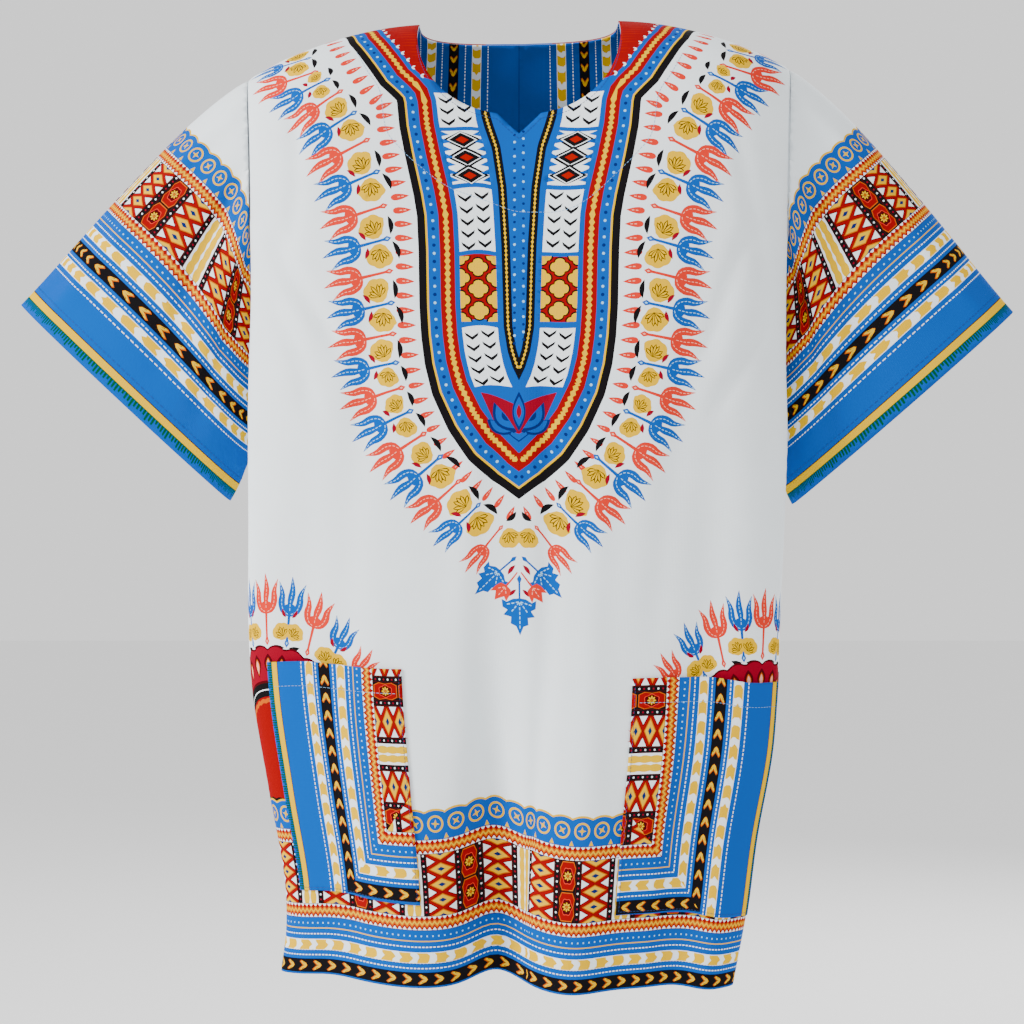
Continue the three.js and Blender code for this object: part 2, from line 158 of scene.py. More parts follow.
def body(side, across, drop):
    """Points of a panel's outer face."""
    depth, tip = depth_of(across, drop)
    at, half, take, start = TUCKS[side]
    take = take * smooth((depth - start) / (LENGTH - start))
    share = share_at(across, depth)
    share = (share - take * (smooth((share - at) / (2 * half) + 0.5) - 0.5)) / (1 - take / 2)
    reach, hand = np.abs(share), np.where(share < 0, -1, 1)
    outline = np.where(share < 0, OUTLINE_LEFT(depth), OUTLINE_RIGHT(depth))
    section = outline * ACROSS(reach) - (outline - SIDE_SEAM(depth)) * STEP_IN(reach)
    crown, ridge = CROWN_DEPTH[side](depth), RIDGE_DEPTH(depth)
    full = (crown - ridge) * CROWN(reach) + ridge * FLANK(reach)
    fall = np.maximum(depth + tip, 0)
    outer = smooth(reach / ARM_SHARE)
    power, run = (OVER[side][k] * (1 - outer) + OVER["outer"][k] * outer for k in (0, 1))
    over = 1 - np.exp(-((fall / run) ** power))
    hung = 1 - np.exp(-fall / HANG_REACH)
    folds = folds_at(side, share, depth)
    y = full * over + folds * hung + SEAM_GAP / 2
    sag = (0.5 * HEM_TILT * share + FOLD_SAG * folds) * smooth((depth - SAG_FROM) / (LENGTH - SAG_FROM))
    x = hand * (SHOULDER_HALF * np.abs(across) * (1 - hung) + section * hung)
    return np.stack([x, y * (-1 if side == "front" else 1), -depth - sag], -1)


def body_normal(side, across, drop, step=0.002, fall=0.5):
    wide = body(side, np.minimum(across + step, 1), drop) - body(side, np.maximum(across - step, -1), drop)
    high = body(side, across, np.maximum(drop - fall, 0)) - body(side, across, drop + fall)
    normal = np.cross(wide, high) * (1 if side == "front" else -1)
    seam = (drop <= 0.01) | ((np.abs(across) > 0.9999) & (drop >= ARM_DEPTH))
    normal[seam, 1] = 0  # the two panels end face to face
    return unit(normal)


def neck_edge(side, across):
    far = np.clip(np.abs(across) / NECK_COLUMN, 0, 1)
    oval = (1 - far**NECK_ROUND) ** (1 / NECK_ROUND)
    if side == "back":
        return BACK_NECK_DEPTH * oval
    slit = np.maximum(0, 1 - np.abs(across) * SHOULDER_HALF / SLIT_HALF)
    return FRONT_NECK_DEPTH * oval + SLIT_DEPTH * slit


def across_of(share, drop, step=1e-4):
    """The column that has this share of the cloth at a drop, by Newton's method."""
    across = np.clip(share / ARM_SHARE, -1, 1)
    for _ in range(30):
        error = share_at(across, depth_of(across, drop)[0]) - share
        ahead = share_at(across + step, depth_of(across + step, drop)[0]) - share
        across = np.clip(across - error / np.maximum((ahead - error) / step, 0.3), -1, 1)
    return across


# ---- The flat cloth: u across from the centre, h up from the hem along the cloth ----
PANEL_HALF = 318  # half the flat width of a panel
ARM_HALF = 243  # the flat distance from the centre to the armhole
SHARES = np.linspace(-1, 1, 161)
DROPS = np.concatenate([np.linspace(0, 60, 61), np.linspace(63, LENGTH, 245)])
RISES = np.linspace(0, 900, 601)


def cloth_tables(points, places, heights):
    """For a grid of points: the cloth's length from each to its row's end, and the places at even lengths."""
    steps = np.linalg.norm(np.diff(points, axis=1), axis=2)
    rise = np.concatenate([np.cumsum(steps[:, ::-1], 1)[:, ::-1], np.zeros((len(points), 1))], 1)
    return rise, np.stack([np.interp(heights, row[::-1], places[::-1]) for row in rise])


def panel_tables(side):
    share, drop = (g.ravel() for g in np.meshgrid(SHARES, DROPS, indexing="ij"))
    points = body(side, across_of(share, drop), drop).reshape(len(SHARES), len(DROPS), 3)
    return cloth_tables(points, DROPS, RISES)


TABLES = {side: panel_tables(side) for side in ("front", "back")}


def sampled(table, across, down, x, y):
    """A table's value between its rows and columns."""
    i = np.clip((x - across[0]) / (across[1] - across[0]), 0, len(across) - 1.001)
    j = np.clip(np.interp(y, down, np.arange(len(down))), 0, len(down) - 1.001)
    i0, j0 = i.astype(int), j.astype(int)
    a, b = i - i0, j - j0
    return ((table[i0, j0] * (1 - b) + table[i0, j0 + 1] * b) * (1 - a)
            + (table[i0 + 1, j0] * (1 - b) + table[i0 + 1, j0 + 1] * b) * a)


def flat_of(side, across, drop):
    share = share_at(across, depth_of(across, drop)[0])
    return np.stack([share * PANEL_HALF, sampled(TABLES[side][0], SHARES, DROPS, share, drop)], -1)


# ---- Soft creases: (u, h) to (u, h), half width, depth (below zero is a trough) ----
CREASES = {
    "front": [
        (22, 470, 14, 120, 10, -2.2), (-30, 430, -58, 160, 13, 1.6), (-120, 560, -140, 250, 16, -2.0),
        (150, 600, 120, 300, 15, -1.8), (196, 610, 150, 520, 8, -2.2), (205, 560, 168, 470, 7, -1.8),
        (-200, 600, -158, 520, 8, -2.4), (-210, 545, -170, 470, 8, -1.8), (70, 400, 60, 170, 13, 1.5),
        (-186, 700, -196, 600, 8, -1.8), (190, 690, 200, 590, 8, -1.5), (-250, 480, -262, 220, 12, 1.5),
        (248, 460, 258, 230, 12, 1.5), (130, 240, 150, 40, 9, -1.2), (-150, 250, -165, 40, 9, -1.2),
    ],
    "back": [
        (-20, 640, -30, 380, 12, -1.8), (60, 600, 90, 300, 14, 1.8), (-130, 640, -90, 430, 13, -2.0),
        (140, 650, 110, 420, 13, -2.0), (200, 600, 160, 480, 8, -2.4), (-205, 600, -165, 480, 8, -2.2),
        (-60, 420, -80, 120, 12, 1.5), (30, 360, 22, 100, 10, -1.8), (240, 470, 255, 220, 12, 1.4),
        (-245, 470, -255, 210, 12, 1.4), (0, 790, 0, 690, 9, -1.2), (-188, 700, -196, 610, 8, -1.6),
    ],
    "sleeve": [
        (60, 215, 96, 40, 7, -1.8), (150, 250, 132, 60, 8, -2.2), (200, 235, 205, 30, 10, 1.6),
        (330, 240, 322, 40, 10, -1.6), (400, 225, 416, 50, 8, -2.0), (470, 190, 452, 30, 8, 1.5),
    ],
}
CREASE_GAIN = 1.7  # how many times its listed depth a crease is drawn
CREASE_FADE = 14  # creases fade out this near a seam


def creased(part, u, h):
    """How far the creases and a faint unevenness push the cloth out."""
    out = 0.28 * np.sin(u / 21 + 1.3 * np.sin(h / 57)) * np.sin(h / 34 + 1.1 * np.sin(u / 49))
    for u0, h0, u1, h1, half, depth in CREASES[part]:
        along = np.array([u1 - u0, h1 - h0])
        size = np.hypot(*along)
        t = ((u - u0) * along[0] + (h - h0) * along[1]) / size**2
        off = ((u - u0) * along[1] - (h - h0) * along[0]) / size
        bow = 6 * np.sin(3.1 * t + u0)
        ends = smooth((t + 0.25) / 0.35) * smooth((1.25 - t) / 0.35)
        out = out + CREASE_GAIN * depth * np.exp(-(((off - bow) / half) ** 2)) * ends
    return out


def sunk(away, deep, wide):
    """The trough of a sewn seam."""
    return deep * np.exp(-((away / wide) ** 2))


def panel_surface(side, lift=None):
    """Maps flat points of a panel to points in space and their outward normals."""
    def at(flat):
        u, h = flat[:, 0], flat[:, 1]
        drop = sampled(TABLES[side][1], SHARES, RISES, u / PANEL_HALF, h)
        across = across_of(u / PANEL_HALF, drop)
        points, normals = body(side, across, drop), body_normal(side, across, drop)
        seam = np.where(drop < ARM_DEPTH, (1 - np.abs(across)) * ARM_HALF, PANEL_HALF - np.abs(u))
        out = creased(side, u, h) * smooth(np.minimum(seam, drop) / CREASE_FADE) - sunk(seam, 1.1, 2.4)
        if lift is not None:
            out = out + lift(flat)
        return points + normals * out[:, None], normals
    return at


# ---- Sleeves: u round the tube from the underarm seam, h up from the cuff along the cloth ----
CUFFS = {"left": (-1, 419, -239, 243, -404), "right": (1, 416, -245, 230, -407)}
CUFF_Y, CUFF_HALF_THICK, CUFF_EASE = -10, 42, 0.14
SLEEVE_GAP, CAP_BULGE, CURVE_PULL, SQUARE_CUFF, FOLD_START = 0.4, 0.45, 0.8, 0.4, 0.25
# Folds: place round the tube, half width, how far out, how far down they reach.
SLEEVE_FOLDS = [(0.25, 0.045, -11, 0.8), (0.155, 0.04, -7, 0.6), (0.36, 0.04, -4, 0.7),
                (0.74, 0.05, -9, 0.75), (0.85, 0.04, -7, 0.6)]
SLEEVE_ROUND = 536  # flat width round the tube
ARMHOLE_STEPS = 160


def armhole(hand):
    """The armhole's edge as a function of the share round it."""
    down, up = np.linspace(ARM_DEPTH, 0, ARMHOLE_STEPS), np.linspace(0, ARM_DEPTH, ARMHOLE_STEPS)[1:]
    edge = np.concatenate([body("front", hand * np.ones(len(down)), down),
                           body("back", hand * np.ones(len(up)), up)])
    top = ARMHOLE_STEPS - 1
    edge[[0, top, -1], 1] = 0
    reach = lengths(edge)
    share = np.where(np.arange(len(edge)) <= top, 0.5 * reach / reach[top],
                     0.5 + 0.5 * (reach - reach[top]) / (reach[-1] - reach[top]))
    return lambda around: spots_on(edge, share, around)


def sleeve_point(cuff, edge, around, along):
    hand, top_x, top_z, low_x, low_z = CUFFS[cuff]
    angle = 2 * np.pi * around - CUFF_EASE * np.sin(4 * np.pi * around)
    up = 0.5 - 0.5 * np.cos(angle)
    end = np.stack([hand * (low_x + (top_x - low_x) * up), CUFF_Y - CUFF_HALF_THICK * np.sin(angle),
                    low_z + (top_z - low_z) * up], -1)
    start = edge(around)
    start[:, 0] += hand * SLEEVE_GAP
    straight = end - start
    size = np.linalg.norm(straight, axis=1)[:, None]
    leave = unit(straight)
    leave[:, 0] += hand * CAP_BULGE * np.abs(np.sin(np.pi * around))
    leave = unit(leave) * size * CURVE_PULL
    square = unit(np.array([hand * (top_z - low_z), 0.0, low_x - top_x]))
    arrive = unit(square * (1 - SQUARE_CUFF) + unit(straight) * SQUARE_CUFF) * size * CURVE_PULL
    t = along[:, None]
    r = 1 - t
    point = start * r * r * (1 + 2 * t) + leave * r * r * t + end * t * t * (1 + 2 * r) - arrive * t * t * r
    folds = sum(out * np.exp(-(((around - c) / half) ** 2)) * (1 - smooth(along / reach))
                for c, half, out, reach in SLEEVE_FOLDS) * smooth(along / FOLD_START)
    point[:, 1] -= np.sign(np.sin(2 * np.pi * around)) * folds
    return point


def sleeve_surface(cuff):
    """A sleeve's map from flat points to space, and its flat outline."""
    hand = CUFFS[cuff][0]
    edge = armhole(hand)
    rounds, alongs, heights = np.linspace(0, 1, 161), np.linspace(0, 1, 101), np.linspace(0, 320, 321)
    a, b = (g.ravel() for g in np.meshgrid(rounds, alongs, indexing="ij"))
    points = sleeve_point(cuff, edge, a, b).reshape(len(rounds), len(alongs), 3)
    rise, back = cloth_tables(points, alongs, heights)

    def at(flat, step=0.002):
        u, h = flat[:, 0], flat[:, 1]
        around = np.clip(u / SLEEVE_ROUND, 0, 1)
        along = np.clip(sampled(back, rounds, heights, around, h), 0, 1)
        wide = (sleeve_point(cuff, edge, np.minimum(around + step, 1), along)
                - sleeve_point(cuff, edge, np.maximum(around - step, 0), along))
        low = (sleeve_point(cuff, edge, around, np.minimum(along + step, 1))
               - sleeve_point(cuff, edge, around, np.maximum(along - step, 0)))
        normals = unit(np.cross(low, wide) * hand)
        seam, top = np.minimum(u, SLEEVE_ROUND - u), along * rise.mean()
        out = creased("sleeve", u, h) * smooth(np.minimum(seam, top * 2) / CREASE_FADE)
        out = out - sunk(top, 1.0, 2.4) - sunk(seam, 0.8, 2.2)
        return sleeve_point(cuff, edge, around, along) + normals * out[:, None], normals

    outline = [np.linspace((0, 0), (SLEEVE_ROUND, 0), 120),
               np.linspace((SLEEVE_ROUND, 0), (SLEEVE_ROUND, rise[-1, 0]), 40)[1:],
               np.stack([rounds[::-1] * SLEEVE_ROUND, rise[::-1, 0]], -1)[1:],
               np.linspace((0, rise[0, 0]), (0, 0), 40)[1:-1]]
    return at, np.concatenate(outline)


# ---- Dyes ----
DYES = {  # linear RGB
    "white": (0.86, 0.92, 0.95), "azure": (0.0, 0.08, 0.4), "yellow": (0.76, 0.44, 0.0),
    "red": (0.28, 0.0, 0.002), "orange": (0.55, 0.095, 0.0), "coral": (0.68, 0.03, 0.015),
    "crimson": (0.26, 0.0, 0.014), "black": (0.006, 0.005, 0.006), "green": (0.0, 0.07, 0.022),
    "maroon": (0.07, 0.001, 0.003), "navy": (0.004, 0.016, 0.12), "brown": (0.03, 0.01, 0.001),
    "pale": (0.3, 0.62, 0.88), "blush": (0.93, 0.38, 0.28), "scarlet": (0.36, 0.002, 0.0),
}
NAMES = list(DYES)
PALETTE = np.array([DYES[n] for n in NAMES])
FADED = PALETTE * 0.45 + np.array([0.72, 0.8, 0.84]) * 0.55  # the cloth's wrong side


# ---- Shapes of the print ----
class Design:
    """Shapes laid over one another on the flat cloth, the later ones on top."""

    def __init__(self, ground):
        self.ground = ground
        self.shapes = []

    def add(self, points, dye):
        points = np.asarray(points, float)
        if len(points) > 2:
            self.shapes.append((points, NAMES.index(dye)))

    def stamp(self, motif, origin, towards, scale=1.0, flip=False):
        """A motif drawn along +x from the origin, turned to a direction."""
        ahead = unit(np.array(towards, float))
        turn = np.stack([ahead, left_of(ahead)])
        for points, dye in motif:
            points = np.asarray(points, float) * (scale, -scale if flip else scale)
            self.add(points @ turn + origin, dye)


def both(design, draw, *given):
    """Draws a half design and its mirror image about the centre line."""
    half = Design(design.ground)
    draw(half, *given)
    for points, dye in half.shapes:
        design.shapes += [(points, dye), (points * (-1, 1), dye)]


def stroke(line, widths):
    line, widths = np.asarray(line, float), np.asarray(widths, float)
    side = left_of(unit(np.gradient(line, axis=0))) * widths[:, None] / 2
    keep = widths > 0.01
    return np.concatenate([line + side, (line - side)[keep][::-1]])


def tapered(t, widths):
    """Widths that vanish at a shape's two ends alone."""
    return widths + 0.02 * (t < 1) * (t > 0)


def bent(keys, count=9):
    """A smooth line through a few points."""
    keys = np.asarray(keys, float)
    t = np.linspace(0, 1, len(keys))
    s = np.linspace(0, 1, count)
    return np.stack([curve(list(zip(t, column)))(s) for column in keys.T], -1)


def leaf(length, width, bow=0.0, blunt=0.5, count=8):
    """Pointed at both ends and widest at blunt."""
    t = np.linspace(0, 1, count)
    line = np.stack([t * length, bow * np.sin(np.pi * t)], -1)
    return stroke(line, tapered(t, width * np.sin(np.pi * t ** (math.log(0.5) / math.log(blunt)))))


def teardrop(length, width, count=9):
    """Pointed at its start and round at its end."""
    t = 0.5 - 0.5 * np.cos(np.linspace(0, np.pi, count))
    return stroke(np.stack([t * length, 0 * t], -1), tapered(t, width * 1.65 * t**0.85 * np.sqrt(1 - t**2.5)))


def dashes(line, width=0.62, dash=2.1, gap=1.2, skip=1.5):
    """Short marks along a line."""
    line = np.asarray(line, float)
    reach = lengths(line)
    marks = []
    place = skip
    while place + dash < reach[-1] - skip:
        marks.append(stroke(spots_on(line, reach, [place, place + dash]), [width, width]))
        place += dash + gap
    return marks


def disc(x, y, radius, count=8):
    angle = np.linspace(0, 2 * np.pi, count, endpoint=False)
    return np.stack([x + radius * np.cos(angle), y + radius * np.sin(angle)], -1)


def box(x0, x1, y0, y1):
    return [(x0, y0), (x1, y0), (x1, y1), (x0, y1)]


def between(q, low, high):
    """The area between two lines over q."""
    return np.concatenate([np.stack([q, low + 0 * q], -1), np.stack([q, high + 0 * q], -1)[::-1]])


def clipped(points, a, b, c):
    """The part of a shape where a x + b y >= c."""
    points = np.asarray(points, float).reshape(-1, 2)
    value = points @ (a, b) - c
    out = []
    for i in range(len(points)):
        j = (i + 1) % len(points)
        if value[i] >= 0:
            out.append(points[i])
        if value[i] * value[j] < 0:
            t = value[i] / (value[i] - value[j])
            out.append(points[i] + t * (points[j] - points[i]))
    return np.array(out).reshape(-1, 2)


TULIP_LENGTH = 60.0


def tulip(dye, light):
    """Stem with a bud tip, then three pointed petals with dotted midlines."""
    base = 0.46 * TULIP_LENGTH
    shapes = [([(0, 0), (3.4, 2.3), (7.6, 0.8), (7.6, -0.8), (3.4, -2.3)], dye),
              ([(2.2, 0), (3.6, 0.9), (5.2, 0), (3.6, -0.9)], light),
              (stroke([(6, 0), (base / 2 + 3, 0), (base + 2, 0)], [2.1, 2.2, 2.8]), dye),
              ([(base - 1, -1), (base + 2.6, -4.4), (base + 8, -4.6), (base + 10, 0), (base + 8, 4.6),
                (base + 2.6, 4.4), (base - 1, 1)], dye)]
    middle = bent([(base + 2, 0), (base + 11, -0.2), (base + 20, 0.8), (TULIP_LENGTH, -0.8)])
    petals = [(middle, [3.2, 3.8, 4.8, 5.9, 6.4, 6.0, 4.7, 2.6, 0])]
    for side in (1, -1):
        line = bent([(base - 0.2, 0), (base + 2.8, side * 5.6), (base + 9.5, side * 8.4),
                     (base + 17.5, side * 8.6), (TULIP_LENGTH - 5.0, side * 12.6)], 11)
        petals.append((line, [2.6, 4.2, 5.2, 5.9, 6.3, 6.5, 6.2, 5.4, 4.0, 2.1, 0]))
    for line, widths in petals:
        shapes.append((stroke(line, widths), dye))
    for line, _ in petals:
        shapes += [(mark, light) for mark in dashes(line)]
    return shapes


def flower(phase=0.0):
    """A fluffy yellow bloom, opening from its base along +x, with a fan of looped petals."""
    angle = np.linspace(-0.9, 0.9, 21)
    reach = 18.2 - 2.6 * (angle / 0.9) ** 2 + 1.1 * np.abs(np.sin(5.2 * angle + phase))
    fan = np.stack([1.0 + reach * np.cos(angle), 0.93 * reach * np.sin(angle)], -1)
    base = [(6.5, 9.6), (5.2, 8.0), (1.2, 4.6), (-0.4, 0), (1.2, -4.6), (5.2, -8.0), (6.5, -9.6)]
    shapes = [(np.concatenate([base[-2:], fan, base[:-2]]), "yellow")]
    for k in range(6):
        turn = math.radians(-60 + 24 * k) + 0.07 * math.sin(phase + 2 * k)
        size = 13.2 - 0.9 * abs(k - 2.5) + 0.6 * math.sin(phase + 3 * k)
        for width, dye, inset in ((3.9, "brown", 0.0), (2.1, "yellow", 1.0)):
            petal = leaf(size - 2 * inset, width, blunt=0.66, count=5) + (inset, 0)
            shapes.append((spun(petal, turn) * (0.92, 0.86) + (4.0, 0.0), dye))
    return shapes


def maple(dye):
    """A stalk with a pointed five-part leaf."""
    shapes = [([(0, 0), (3, 1.8), (6.5, 0.5), (6.5, -0.5), (3, -1.8)], dye),
              (stroke([(5, 0), (20, 0)], [1.5, 1.5]), dye)]
    edge = [(17, 0), (17.5, 5), (20, 9.5), (18, 13), (24, 12.5), (26, 9), (30, 12), (31, 6.5), (36, 7),
            (37.5, 3), (44, 0)]
    shapes.append((edge + [(x, -y) for x, y in edge[-2:0:-1]], dye))
    for end in ((41, 0), (30, 8.5), (30, -8.5), (22, 10), (22, -10)):
        shapes += [(mark, "pale") for mark in dashes([(19.5, 0), end], 0.8, skip=0.8)]
    return shapes


def bud():
    edge = [(15, 0), (16, 5.5), (20, 7.5), (27, 8.8), (24.5, 4.6), (32, 0)]
    shapes = [(stroke([(0, 0), (16, 0)], [1.2, 1.7]), "coral"),
              (edge + [(x, -y) for x, y in edge[-2:0:-1]], "coral")]
    for end in ((29, 0), (23.5, 6.3), (23.5, -6.3)):
        shapes += [(mark, "blush") for mark in dashes([(17, 0), end], 0.8, skip=0.6)]
    return shapes


DROP = [(teardrop(15.5, 6.0), "coral")] + [(mark, "blush") for mark in dashes([(3, 0), (14, 0)], 0.8)]
TULIPS = {"azure": tulip("azure", "pale"), "coral": tulip("coral", "blush")}


# ---- The flower ring round the yoke ----
# The yoke's half outline (u, h), and that of the stem in its middle.
YOKE = [(166, 850), (148, 795), (131, 766), (116, 742), (101, 727), (98, 703), (92.5, 677), (85, 645),
        (82, 628), (80.5, 600), (80, 577), (79.5, 554), (78, 530), (75, 507), (69, 483), (56, 454),
        (40, 428), (21, 407), (0, 390)]
STEM = [(34, 740), (31, 712), (28, 700), (22, 680), (17, 645), (14.2, 598), (13.5, 577), (12.2, 530),
        (9, 510), (5, 497), (0, 486)]
# The ring's guides: a tulip's number, where its stem starts and where its petals end.
RING = [(0, 171, 760, 236, 748), (2, 147, 738, 197, 703), (4, 121.5, 692, 177, 661),
        (6, 106, 635.5, 164, 616), (9, 99, 556, 158, 543), (11, 95, 507.6, 153, 495),
        (13, 83.5, 470, 136, 442.5), (15, 60, 435, 104, 395), (17, 30, 392, 69, 360),
        (18, 12.5, 370, 44, 337)]
RING_GUIDES = [curve([(row[0], row[column]) for row in RING]) for column in (1, 2, 3, 4)]
FIRST_TULIP, LAST_TULIP = -3, 18


def as_given(h):
    return h


def shortened(h):
    """The back's yoke reaches less far down."""
    return np.where(h < 850, 858 - (850 - h) * 0.83, h + 8)


def squeezed(points, squeeze):
    """Points with the front's heights mapped to a panel's."""
    points = np.asarray(points, float)
    return np.stack([points[:, 0], squeeze(points[:, 1])], -1)


def ring_ends(k, squeeze):
    """Where a tulip's stem starts and its petals end. Those before the first row go on evenly."""
    row = max(k, 0)
    u0, h0, u1, h1 = (guide(row) for guide in RING_GUIDES)
    return squeezed([(u0, h0), (u1, h1)], squeeze) - (k - row) * np.array([(9, 22), (4, 26)])


def ring_drops(half, squeeze):
    """Coral drops between the yoke and the tulips, smaller towards the point."""
    path = resampled(offset_curve(resampled(squeezed(YOKE, squeeze), 2.0), -3.6), 11.8)
    for k in range(2, len(path) - 1):
        out = left_of(path[k + 1] - path[k - 1])
        half.stamp(DROP, path[k], out * (1 if out[0] > 0 or out[1] < 0 else -1),
                   0.8 + 0.2 * smooth((path[k][1] - 440) / 110))
    half.stamp(DROP, path[-1] + (1.2, -2.5), (7, -13), 0.8)


def ring_flowers(half, squeeze):
    """Tulips, with a flower, a black leaf and a crimson leaf on each side of a blue one."""
    for k in range(FIRST_TULIP, LAST_TULIP + 1):
        start, end = ring_ends(k, squeeze)
        size = np.hypot(*(end - start))
        half.stamp(TULIPS["azure" if k % 2 else "coral"], start, end - start, size / TULIP_LENGTH)
        if k % 2 == 0:
            continue
        along = (end - start) / size
        for turn in (1, -1):
            gap = np.hypot(*(ring_ends(k + turn, squeeze)[0] - start))
            side = left_of(along) * (-turn)
            half.stamp(flower(k + turn), start + 0.175 * size * along + side * 2.6,
                       side + 0.3 * along, min(1.0, 0.8 * gap / 20))
            half.stamp([(leaf(min(15.5, 0.66 * gap), 4.4, 1.6, count=10), "black")],
                       start + 0.2 * along + side * 2.8, side - 0.12 * along, flip=turn > 0)
            half.stamp([(leaf(min(9.5, 0.4 * gap), 3.5, 0.8), "crimson")],
                       start + 0.35 * size * along + side * 3.0, 0.55 * along + side, flip=turn > 0)
    last = ring_ends(LAST_TULIP, squeeze)[0]
    half.stamp(flower(2.0), last - (3.4, 3), (-3, -12), 0.82)
    half.stamp([(leaf(11, 4.2, 1.2), "black")], last + (-2, 3), (-8, 7))


def ring_tip(half, tip):
    half.stamp(maple("azure"), tip + (2, -1), (29, -24))
    for size, width, place, towards in ((10, 3.4, (3, -8), (8, -10)), (8, 3, (2.5, -28), (7, -7)),
                                        (8, 3, (2.5, -40), (7, -8))):
        half.stamp([(leaf(size, width, 0.6), "crimson")], tip + place, towards)
    half.stamp(bud(), tip + (1.5, -14), (23, -28), 0.92)


def ring(design, squeeze):
    both(design, ring_drops, squeeze)
    both(design, ring_flowers, squeeze)
    tip = np.array([0.0, float(squeeze(345.0))])
    both(design, ring_tip, tip)
    design.stamp(maple("azure"), tip + (0, -16), (0, -1), 1.12)


# ---- The yoke ----
YOKE_BANDS = ((0, "black"), (6.3, "yellow"), (7.9, "azure"), (17.4, "red"), (29, "azure"))
PANELS_FROM = 33  # how far in from the yoke's outline its panels start
STEM_MARGIN = 4.5
YOKE_ROWS = [(737, 704, "chevron"), (700.5, 654, "lozenge"), (650, 598, "chevron"),
             (594.5, 541, "quatrefoil"), (536, 488, "chevron")]  # top, foot, kind
ROW_COLUMN = 45.0  # where across the rows' heights are given


def closed_half(points):
    """A half outline from the top down to the centre line, closed by its mirror image."""
    inside = points[points[:, 0] > 0.05]
    after = points[points[:, 0] <= 0.05]
    if len(after):
        a, b = inside[-1], after[0]
        tip = a + a[0] / (a[0] - b[0]) * (b - a)
    else:
        tip = inside[-1] * (0, 1)
    return np.concatenate([inside, [(0, tip[1])], (inside * (-1, 1))[::-1]])


def edge_of(points, margin=0.0):
    """A half outline's distance from the centre line, as a function of height."""
    order = np.argsort(points[:, 1])
    return lambda h: float(np.interp(h, points[order, 1], points[order, 0])) + margin


def wave_band(points, amount, half, tooth, pitch):
    """A band along a curve whose two edges are toothed."""
    line = resampled(points, pitch / 2)
    saw = np.where(np.arange(len(line)) % 2, tooth, -tooth)
    one, two = offset_curve(line, amount - half - saw), offset_curve(line, amount + half + saw)
    keep = (one[:, 0] > -0.01) & (two[:, 0] > -0.01)
    return np.concatenate([one[keep], two[keep][::-1]])


def level(u, h):
    """The height at u on the front's right half that hangs level with h at ROW_COLUMN."""
    rise, drops = TABLES["front"]
    drop = sampled(drops, SHARES, RISES, np.array([ROW_COLUMN / PANEL_HALF]), np.array([h]))
    return float(sampled(rise, SHARES, DROPS, np.array([u / PANEL_HALF]), drop)[0])


def row_chevrons(lay, tall):
    count = max(int(round(tall / 9.6)), 3)
    r = 1 / (count + 0.2)
    for k in range(count):
        for p in (0.28, 0.74):
            q = (k + 0.42 + 0.2 * (p > 0.5)) / (count + 0.2)
            lay([(p - 0.2, q - 0.24 * r), (p, q + 0.16 * r), (p + 0.2, q - 0.24 * r),
                 (p + 0.17, q + 0.06 * r), (p, q + 0.46 * r), (p - 0.17, q + 0.06 * r)], "black")


def row_lozenges(lay, _):
    for q in (0.5 / 3, 1.5 / 3, 2.5 / 3):
        for grow, dye in ((1.0, "black"), (0.78, "white"), (0.68, "black"), (0.34, "scarlet")):
            wide, tall = 0.5 * grow, 0.2 * grow
            lay([(0.5 - wide, q), (0.5, q - tall), (0.5 + wide, q), (0.5, q + tall)], dye)
    for q in np.arange(7) / 7:
        for p, way in ((0, 1), (1, -1)):
            lay([(p, q), (p + 0.2 * way, q + 0.07), (p, q + 0.1)], "azure")


def row_quatrefoils(lay, tall):
    lay(box(0, 1, 0, 1), "red")
    squash = tall / 27.0
    for cx, cy in [(0.5, k / 6) for k in (1, 3, 5)] + [(p, k / 3) for p in (0, 1) for k in range(4)]:
        for size, dye in ((0.31, "black"), (0.265, "yellow")):
            angle = np.linspace(0, 2 * np.pi, 24, endpoint=False)
            r = size * (0.74 + 0.26 * np.abs(np.cos(2 * angle)) ** 0.6)
            lay(np.stack([cx + r * np.cos(angle), cy + r * np.sin(angle) / squash], -1), dye)


ROW_PRINTS = {"chevron": ("white", row_chevrons), "lozenge": ("white", row_lozenges),
              "quatrefoil": ("yellow", row_quatrefoils)}


def yoke_row(half, top, foot, kind, left, right, levelled):
    """A row of printed panels between two edges. p runs from 0 to 1 across it and q down it."""
    def place(p, q):
        h = top + (foot - top) * q
        u = left(h) + (right(h) - left(h)) * p
        return u, level(u, h) if levelled else h

    def lay(shape, dye):
        half.add([place(min(max(p, 0.0), 1.0), min(max(q, 0.0), 1.0)) for p, q in shape], dye)

    ground, draw = ROW_PRINTS[kind]
    down = np.linspace(0, 1, 6)
    half.add([place(0, q) for q in down] + [place(1, q) for q in down[::-1]], ground)
    draw(lay, top - foot)


def shoulder_patch(half, edge, right):
    """Red cloth beside the neck, with scarlet streaks and a row of white buds."""
    high, low = edge[0][1], edge[-1][1]
    half.add(np.concatenate([edge, [(edge[-1][0] - 12, low - 4), (30, low), (30, high)]]), "red")
    for k, h in enumerate(np.arange(high - 4, low, -4.2)):
        wobble = 3 * math.sin(k * 2.3)
        half.add(leaf(24 + 5 * math.sin(k), 1.7, 0.8) * (-1, 1) + (right(h) - 7 - wobble, h), "scarlet")
        if k % 2 == 0:
            for turn in (-1, 1):
                half.stamp([(leaf(3.8, 1.7), "white")], (right(h) - 0.5, h - 1.5), (-1, 0.7 * turn))


